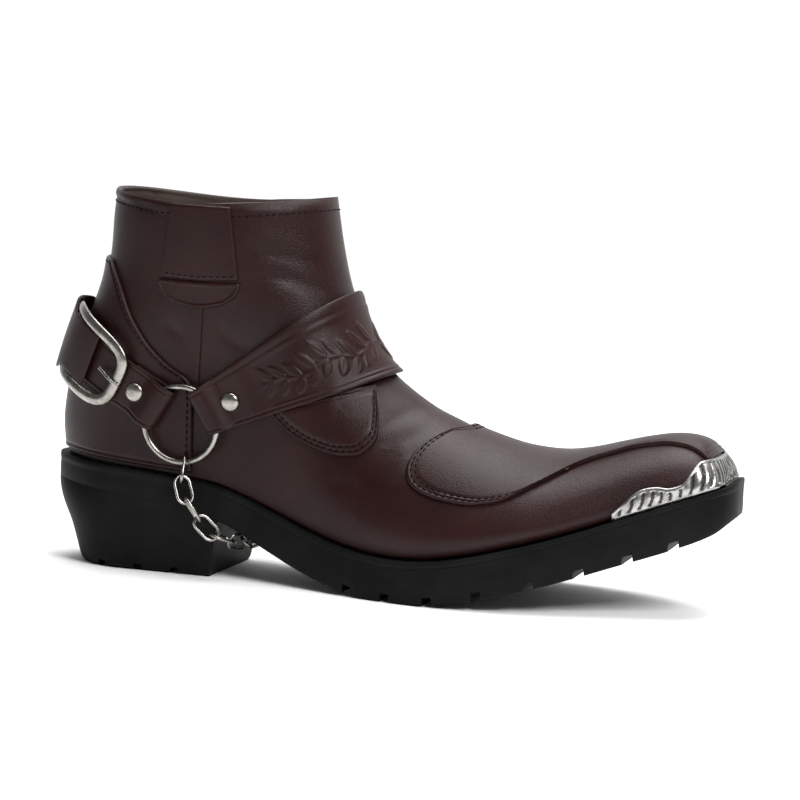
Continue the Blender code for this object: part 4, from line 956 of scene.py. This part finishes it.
# Chain under the arch
LINK_WIRE, LINK_LONG, LINK_WIDE, LINK_ROLL, LINK_END_ROLL = 0.75, 6.4, 3.5, 45, 30
HOOK_PLAY, LINK_PLAY = 0.9, 0.3
CHAIN_HANG = {OUTER: -84.0, INNER: -76.0}  # angle round each ring where the chain hangs
CHAIN_PATH = ((20.5, -42, 42), (27, -41.5, 30.5), (37.5, -38.5, 20), (45.5, -25, 16.8), (47.5, 0, 16.2),
              (47, 21, 16.6), (45, 36, 21.5), (39.5, 38, 32), (34.5, 37, 43))


def stadium(long, wide, ends):
    """Points of a loop with straight sides and round ends, as (along, across)."""
    a = np.linspace(-np.pi / 2, np.pi / 2, ends)
    half = np.stack([long - wide + wide * np.cos(a), wide * np.sin(a)], -1)
    return np.concatenate([half, -half])


def make_chain():
    first, last = (ring_point(side, CHAIN_HANG[side]) for side in SIDES)
    path = np.array([first, *CHAIN_PATH, last])
    starts = lengths_along(path)
    hook = LINK_LONG - LINK_WIRE - RING_WIRE - HOOK_PLAY
    run_long = starts[-1] - 2 * hook
    count = math.ceil(run_long / (2 * (LINK_LONG - LINK_WIRE) - LINK_PLAY)) + 1
    loop = stadium(LINK_LONG, LINK_WIDE, 12)

    def spot(s):
        i = int(np.clip(np.searchsorted(starts, s) - 1, 0, len(path) - 2))
        return path[i] + (path[i + 1] - path[i]) * (s - starts[i]) / (starts[i + 1] - starts[i])

    for i in range(count):
        s = hook + run_long * i / (count - 1)
        ahead, behind = spot(s + LINK_LONG * 0.8), spot(s - LINK_LONG * 0.8)
        run, centre = unit(ahead - behind), (ahead + behind) / 2
        away = unit(np.array((0, centre[1] / 20, -1)))
        flat = unit(away - run * away.dot(run))
        roll = LINK_END_ROLL if i in (0, count - 1) else LINK_ROLL
        turn = math.radians(roll if i % 2 else -roll)
        broad = flat * math.cos(turn) + np.cross(run, flat) * math.sin(turn)
        points = centre + loop[:, :1] * run + loop[:, 1:] * broad
        link = f"chain_link_{i:02d}"
        wire(f"{link}_nickel", link, points, np.cross(run, broad), LINK_WIRE, 12)


make_chain()


# Zip on the inner side, with its pull on its own body
ZIP_LINE = ((8, 49.5), (9.8, 72), (10, 97), (8.6, 118), (7, 134), (5, 142.5))
ZIP_HALF, TAPE_LOW, TAPE_TOP = 3.2, 0.1, 0.9
TEETH_LONG, TEETH_SHARE, TOOTH_PITCH, TOOTH_OFF, TOOTH_LIFT = 97, 0.9, 1.5, 0.11, 1.15
TOOTH_HALVES, TOOTH_BEVEL = (0.42, 1.35, 0.4), 0.12
SLIDER = (((2.6, 133.2), (9.6, 133.2)), ((1.4, 142.4), (8.4, 142.4)))
SLIDER_LOW, SLIDER_EDGE, SLIDER_DOME, SLIDER_ROUND, SLIDER_WAIST = 2.2, 2.9, 1.4, 1.3, 0.16
PULL_TOP, PULL_LIFT = (5.4, 131.6), 3.6  # hinge of the pull in side view, and its height
PULL_LONG, PULL_WIDE, PULL_WIRE = 9.6, 3.2, 0.8
SNAP = ((5.4, -0.3), (5.65, 0.2), (5.7, 0.8), (5.5, 1.2), (5.1, 1.45), (4.7, 1.4), (4.4, 1.5), (3.8, 1.85),
        (2.4, 2.05), (0.2, 2.1))
SNAP_AT, SNAP_LIFT = (0.36, 0.58), 2.1


def blocks(name, centres, axes, halves, finish):
    """Many small blocks as one object; each has its own three axes."""
    corners = np.array([(i, j, k) for i in (-1, 1) for j in (-1, 1) for k in (-1, 1)], float)
    quads = ((0, 1, 3, 2), (4, 6, 7, 5), (0, 4, 5, 1), (2, 3, 7, 6), (0, 2, 6, 4), (1, 5, 7, 3))
    points, faces = [], []
    for n, (centre, axis) in enumerate(zip(centres, axes)):
        points.append(centre + (corners * halves) @ axis)
        faces += [tuple(8 * n + i for i in quad) for quad in quads]
    made = new_object(name, np.concatenate(points), faces, finish, 20)
    bevel = made.modifiers.new("edges", "BEVEL")
    bevel.width, bevel.segments = TOOTH_BEVEL * MM, 1
    return made


def make_zip():
    low, high = ([(x + k * ZIP_HALF, z) for x, z in rounded(ZIP_LINE, 40, 4)] for k in (-1, 1))
    base = patch(INNER, low, high)
    a, b = grid_of(np.linspace(0, 1, 90), np.linspace(0, 1, 13))
    raised("zip_tape_cloth", base, a, b, TAPE_LOW, TAPE_TOP, tape, "zip_tape", "zip_teeth")
    count = int(TEETH_LONG / TOOTH_PITCH)
    share = (np.arange(count) + 0.5) / count * TEETH_SHARE
    across = 0.5 + np.where(np.arange(count) % 2, TOOTH_OFF, -TOOTH_OFF)
    up = unit(base(share + 0.01, across) - base(share - 0.01, across))
    axes = [np.array((u, np.cross(n, u), n)) for u, n in zip(up, outward(base, share, across))]
    teeth = blocks("zip_teeth_metal", above(base, share, across, TOOTH_LIFT), axes, TOOTH_HALVES, gunmetal)
    place(teeth, "zip_metal")
    base = patch(INNER, *SLIDER)
    a, b = grid_of(eased(18, 0.05), eased(24, 0.05))
    fall, _ = edge_fall(base(a, b), SLIDER_ROUND)
    a = 0.5 + (a - 0.5) * (1 - SLIDER_WAIST * np.exp(-((b - 0.35) / 0.2) ** 2))
    top = SLIDER_EDGE + SLIDER_DOME * fall
    raised("zip_slider_metal", base, a, b, SLIDER_LOW, top, gunmetal, "zip_metal", "zip_slider")


def make_pull():
    """Wire loop that hangs from the slider, on the surface's own directions at the hinge."""
    x, z = PULL_TOP
    base = patch(INNER, ((x - 2, z), (x + 2, z)), ((x - 2, z + 4), (x + 2, z + 4)))
    normal = outward(base, 0.5, 0.0, 0.2)
    axis = unit(base(1, 0) - base(0, 0))
    axis = unit(axis - normal * axis.dot(normal))
    hang = np.cross(axis, normal)
    hang = hang * -np.sign(hang[2])
    loop = stadium(PULL_LONG / 2, PULL_WIDE, 16)
    points = base(0.5, 0.0) + normal * PULL_LIFT + hang * (PULL_LONG / 2 + loop[:, :1]) + axis * loop[:, 1:]
    wire("zip_pull_metal", "zip_pull", points, normal, PULL_WIRE, 14, look=(gunmetal, "zip_metal"),
         body="zip_pull")


make_zip()
make_pull()
turned("snap_cap_nickel", "snap_cap", snap_flap, *SNAP_AT, SNAP_LIFT, SNAP)


# Toe plate: raised rim round a field of slanted ribs, dark in its grooves
PLATE_TURN = (0.0, 0.32, 0.44, 0.55, 0.64, 0.74, 0.84, 0.93, 1.0)
plate_top = curve(PLATE_TURN, (70.5, 69.5, 66.0, 60.5, 58.5, 58.5, 56.5, 51.0, 46.5))
PLATE_LONG, PLATE_FOOT, PLATE_LOW, PLATE_EDGE, PLATE_THICK, PLATE_ROUND = 45.0, 0.02, 0.3, 0.5, 0.7, 0.7
RIB_STEP, RIB_SLANT, RIB_HIGH, RIB_SUNK, RIM_WIDE, RIM_HIGH, DARK_BELOW = 3.4, 0.8, 0.65, 0.1, 1.5, 0.6, 0.28


def plate_base(a, b):
    a, b = floats(a, b)
    back = PLATE_LONG * (1 - np.cos(np.pi / 2 * np.abs(a)))
    low = sole_top(TOE_X - back) + SEAT
    z = low + (plate_top(np.abs(a)) - low) * b
    return on_upper(toe_front(z) - back, z, np.where(a < 0, OUTER, INNER))


def make_plate():
    a, b = grid_of(2 * eased(360, 0.003) - 1, PLATE_FOOT + (1 - PLATE_FOOT) * eased(56, 0.015))
    flat = plate_base(a, b)
    fall, distance = edge_fall(flat, PLATE_ROUND)
    length = lengths_along(flat)
    length = np.abs(length - length[len(length) // 2])
    inside = smooth(RIM_WIDE, RIM_WIDE + 0.7, distance)
    ribs = np.abs(np.sin(np.pi * (length + RIB_SLANT * flat[..., 2]) / RIB_STEP)) ** 0.8
    relief = RIM_HIGH * (1 - inside) + inside * (RIB_HIGH * ribs - RIB_SUNK)
    lift = PLATE_EDGE + fall * (PLATE_THICK + relief)
    made = raised("toe_plate_metal", plate_base, a, b, PLATE_LOW, lift, plate_metal, "nickel", "toe_plate")
    made.data.materials.append(plate_dark)
    groove = ((relief < DARK_BELOW) & (inside > 0.5))[:-1, :-1]
    for face, dark in zip(made.data.polygons[groove.size:2 * groove.size], groove.flat):
        face.material_index = int(dark)


make_plate()


# Stitching
STITCH, STITCH_GAP, STITCH_START, STITCH_RADIUS = 2.1, 1.0, 0.16, 0.32
STITCH_BULGE, STITCH_SUNK, STITCH_SIDES, STITCH_STEPS = 0.34, 0.22, 6, 6
PROBE, DEEPEST = 0.004, 0.9  # step of share that measures a sheet's scale, and the largest inset
SEAM_BELOW, LINE_LIFT = 0.2, 0.05
INNER_SEAM, INNER_SEAM_HALF, ZIP_SEAM = ((13, 86), (28, 81), (46, 73.5)), 1.1, 5.2


def stitch_rows(name, *rows):
    """Rows of sunk stitches as one piece; each row is a line of points with their normals."""
    t = np.linspace(0, 1, STITCH_STEPS)
    rise = STITCH_BULGE * np.sin(np.pi * t)[:, None] ** 0.6 - STITCH_SUNK
    radius = STITCH_RADIUS * (0.45 + 0.55 * np.sin(np.pi * t) ** 0.5)
    size = STITCH_STEPS * STITCH_SIDES
    points, faces = [], []
    for path, normals in rows:
        length = lengths_along(path)
        for n in range(int(length[-1] / (STITCH + STITCH_GAP))):
            s = (n + STITCH_START) * (STITCH + STITCH_GAP) + STITCH * t
            spot, normal = (np.stack([np.interp(s, length, column) for column in source.T], -1)
                            for source in (path, normals))
            normal = unit(normal)
            out = unit(np.cross(unit(np.gradient(spot, axis=0)), normal))
            rings = rings_along(spot + normal * rise, radius, out, normal, STITCH_SIDES)
            start = size * len(points)
            points.append(rings.reshape(-1, 3))
            faces += grid_faces(STITCH_STEPS, STITCH_SIDES, start, wrap=True)
            faces += [tuple(range(start, start + STITCH_SIDES))[::-1],
                      tuple(range(start + size - STITCH_SIDES, start + size))]
    place(new_object(name, np.concatenate(points), faces, thread), "leather")


def edge_row(base, span, count, inset, lift, edge=0, way=1):
    """Row an inset inside the edge where a sheet's first (way 0) or second (way 1) share is edge."""
    step = -PROBE * np.sign(edge) if edge else PROBE
    shares = np.linspace(*span, count)
    at, near = [shares, shares], [shares, shares]
    at[way] = np.full(count, float(edge))
    near[way] = at[way] + step
    scale = np.linalg.norm(base(*near) - base(*at), axis=-1) / abs(step)
    at[way] = edge + np.sign(step) * np.minimum(inset / scale, DEEPEST)
    return above(base, *at, lift), outward(base, *at)


def line_row(side, points, shift):
    """Row along a line of the upper's side view, shifted across it."""
    p = rounded(points, 120, 4)
    run = unit(np.gradient(p, axis=0))
    p = p + np.stack([-run[:, 1], run[:, 0]], -1) * shift
    base = patch(side, p - (0.5, 0), p + (0.5, 0))
    at = np.linspace(0.01, 0.99, 160), np.full(160, 0.5)
    return above(base, *at, LINE_LIFT), outward(base, *at)


def make_stitches():
    top = PANEL_TOP - SEAM_BELOW
    rows = []
    for inset in VAMP_INSETS:
        rows.append(edge_row(vamp, (0.008 * inset, 0.68), 400, inset, top, -1, 0))
        rows.append(edge_row(vamp, (-0.2, 0.975), 500, inset, top))
    stitch_rows("vamp_stitches", *rows, edge_row(vamp, (0.66, 0.9), 200, VAMP_INSETS[0], top, 1, 0))
    top = COUNTER_TOP - SEAM_BELOW
    rows = [edge_row(counter, (0.02, 0.97), 400, COUNTER_INSET, top, end, 0) for end in (-1, 1)]
    stitch_rows("counter_stitches", *rows, edge_row(counter, (-0.96, 0.96), 300, COUNTER_INSET, top))
    # inset, span of shares and height of each row on a pad
    pad_rows = tuple(zip(PAD_INSETS, ((0.01, 0.99), (0.03, 0.97)), (PAD_TOP - 0.1, PAD_TOP + 0.26)))
    stitch_rows("pad_stitches", *(edge_row(pads[side], span, 300, inset, lift)
                                  for side in SIDES for inset, span, lift in pad_rows))
    rows = [edge_row(sheet, span, 200, inset, TAB_TOP) for sheet, span, inset in (
        (pull_tab, (0.04, 0.96), 1.8), (zip_tab, (0.02, 0.98), 1.6), (snap_flap, (0.02, 0.98), 2.0))]
    for sheet, stop in ((zip_tab, 0.97), (snap_flap, 0.95)):
        rows += [edge_row(sheet, (0.08, stop), 160, 1.9, TAB_TOP, edge, 0) for edge in (0, 1)]
    stitch_rows("tab_stitches", *rows)
    rows = [line_row(INNER, INNER_SEAM, shift) for shift in (-INNER_SEAM_HALF, INNER_SEAM_HALF)]
    beside_zip = line_row(INNER, [(x + ZIP_SEAM, z) for x, z in ZIP_LINE], 0)
    stitch_rows("upper_stitches", *rows, beside_zip, collar_row)


make_stitches()


# Stage, light and camera
FLOOR_RADIUS, FLOOR_SIDES, FLOOR_COLOUR = 1100.0, 128, (0.96, 0.96, 0.96)
FRONT_LIGHT, BACK_LIGHT, BACKDROP = 0.16, 1.03, (0.2, 0.7)
# Lights: name, place, aim and size in metres, power in watts
LIGHTS = (("key", (1.0, -0.75, 1.05), (0.12, 0, 0.08), 0.6, 20),
          ("top", (0.2, 0.25, 1.4), (0.15, 0.2, 0), 1.2, 33))
AIM = Vector((0.110, 0.0, 0.085))
AZIMUTH, ELEVATION, ROLL, DISTANCE, LENS, SENSOR = 16.0, 6.135, 2.66, 1.3, 128.0, 36.0


def make_stage():
    finish, _, _ = shader_material("pale_floor", FLOOR_COLOUR, 0.8)
    cosine, sine = circle(FLOOR_SIDES)
    rim = np.stack([cosine, sine, 0 * sine], -1) * FLOOR_RADIUS
    floor = new_object("floor", rim, [tuple(range(FLOOR_SIDES))], finish)


def make_world():
    """Dim studio with a white backdrop behind the boot."""
    world = bpy.data.worlds.new("studio")
    world.use_nodes = True
    tree = world.node_tree
    split = tree.nodes.new("ShaderNodeSeparateXYZ")
    tree.links.new(tree.nodes.new("ShaderNodeTexCoord").outputs["Generated"], split.inputs["Vector"])
    background = tree.nodes["Background"]
    background.inputs["Color"].default_value = (1, 1, 1, 1)
    level = map_range(tree, split.outputs["Y"], FRONT_LIGHT, BACK_LIGHT, *BACKDROP)
    tree.links.new(level, background.inputs["Strength"])
    bpy.context.scene.world = world


def area_light(name, place_at, aim, size, power):
    data = bpy.data.lights.new(name, "AREA")
    data.energy, data.size = power, size
    made = add_object(name, data)
    made.location = place_at
    made.rotation_euler = (Vector(aim) - Vector(place_at)).to_track_quat("-Z", "Y").to_euler()


def make_camera():
    data = bpy.data.cameras.new("camera")
    data.lens, data.sensor_width = LENS, SENSOR
    camera = add_object("camera", data)
    turn = Matrix.Translation(AIM)
    for degrees, axis in ((AZIMUTH, "Z"), (90 - ELEVATION, "X"), (ROLL, "Z")):
        turn = turn @ Matrix.Rotation(math.radians(degrees), 4, axis)
    camera.matrix_world = turn @ Matrix.Translation((0, 0, DISTANCE))
    bpy.context.scene.camera = camera


make_stage()
make_camera()
make_world()
for light in LIGHTS:
    area_light(*light)
bpy.context.scene.view_settings.view_transform = "Standard"
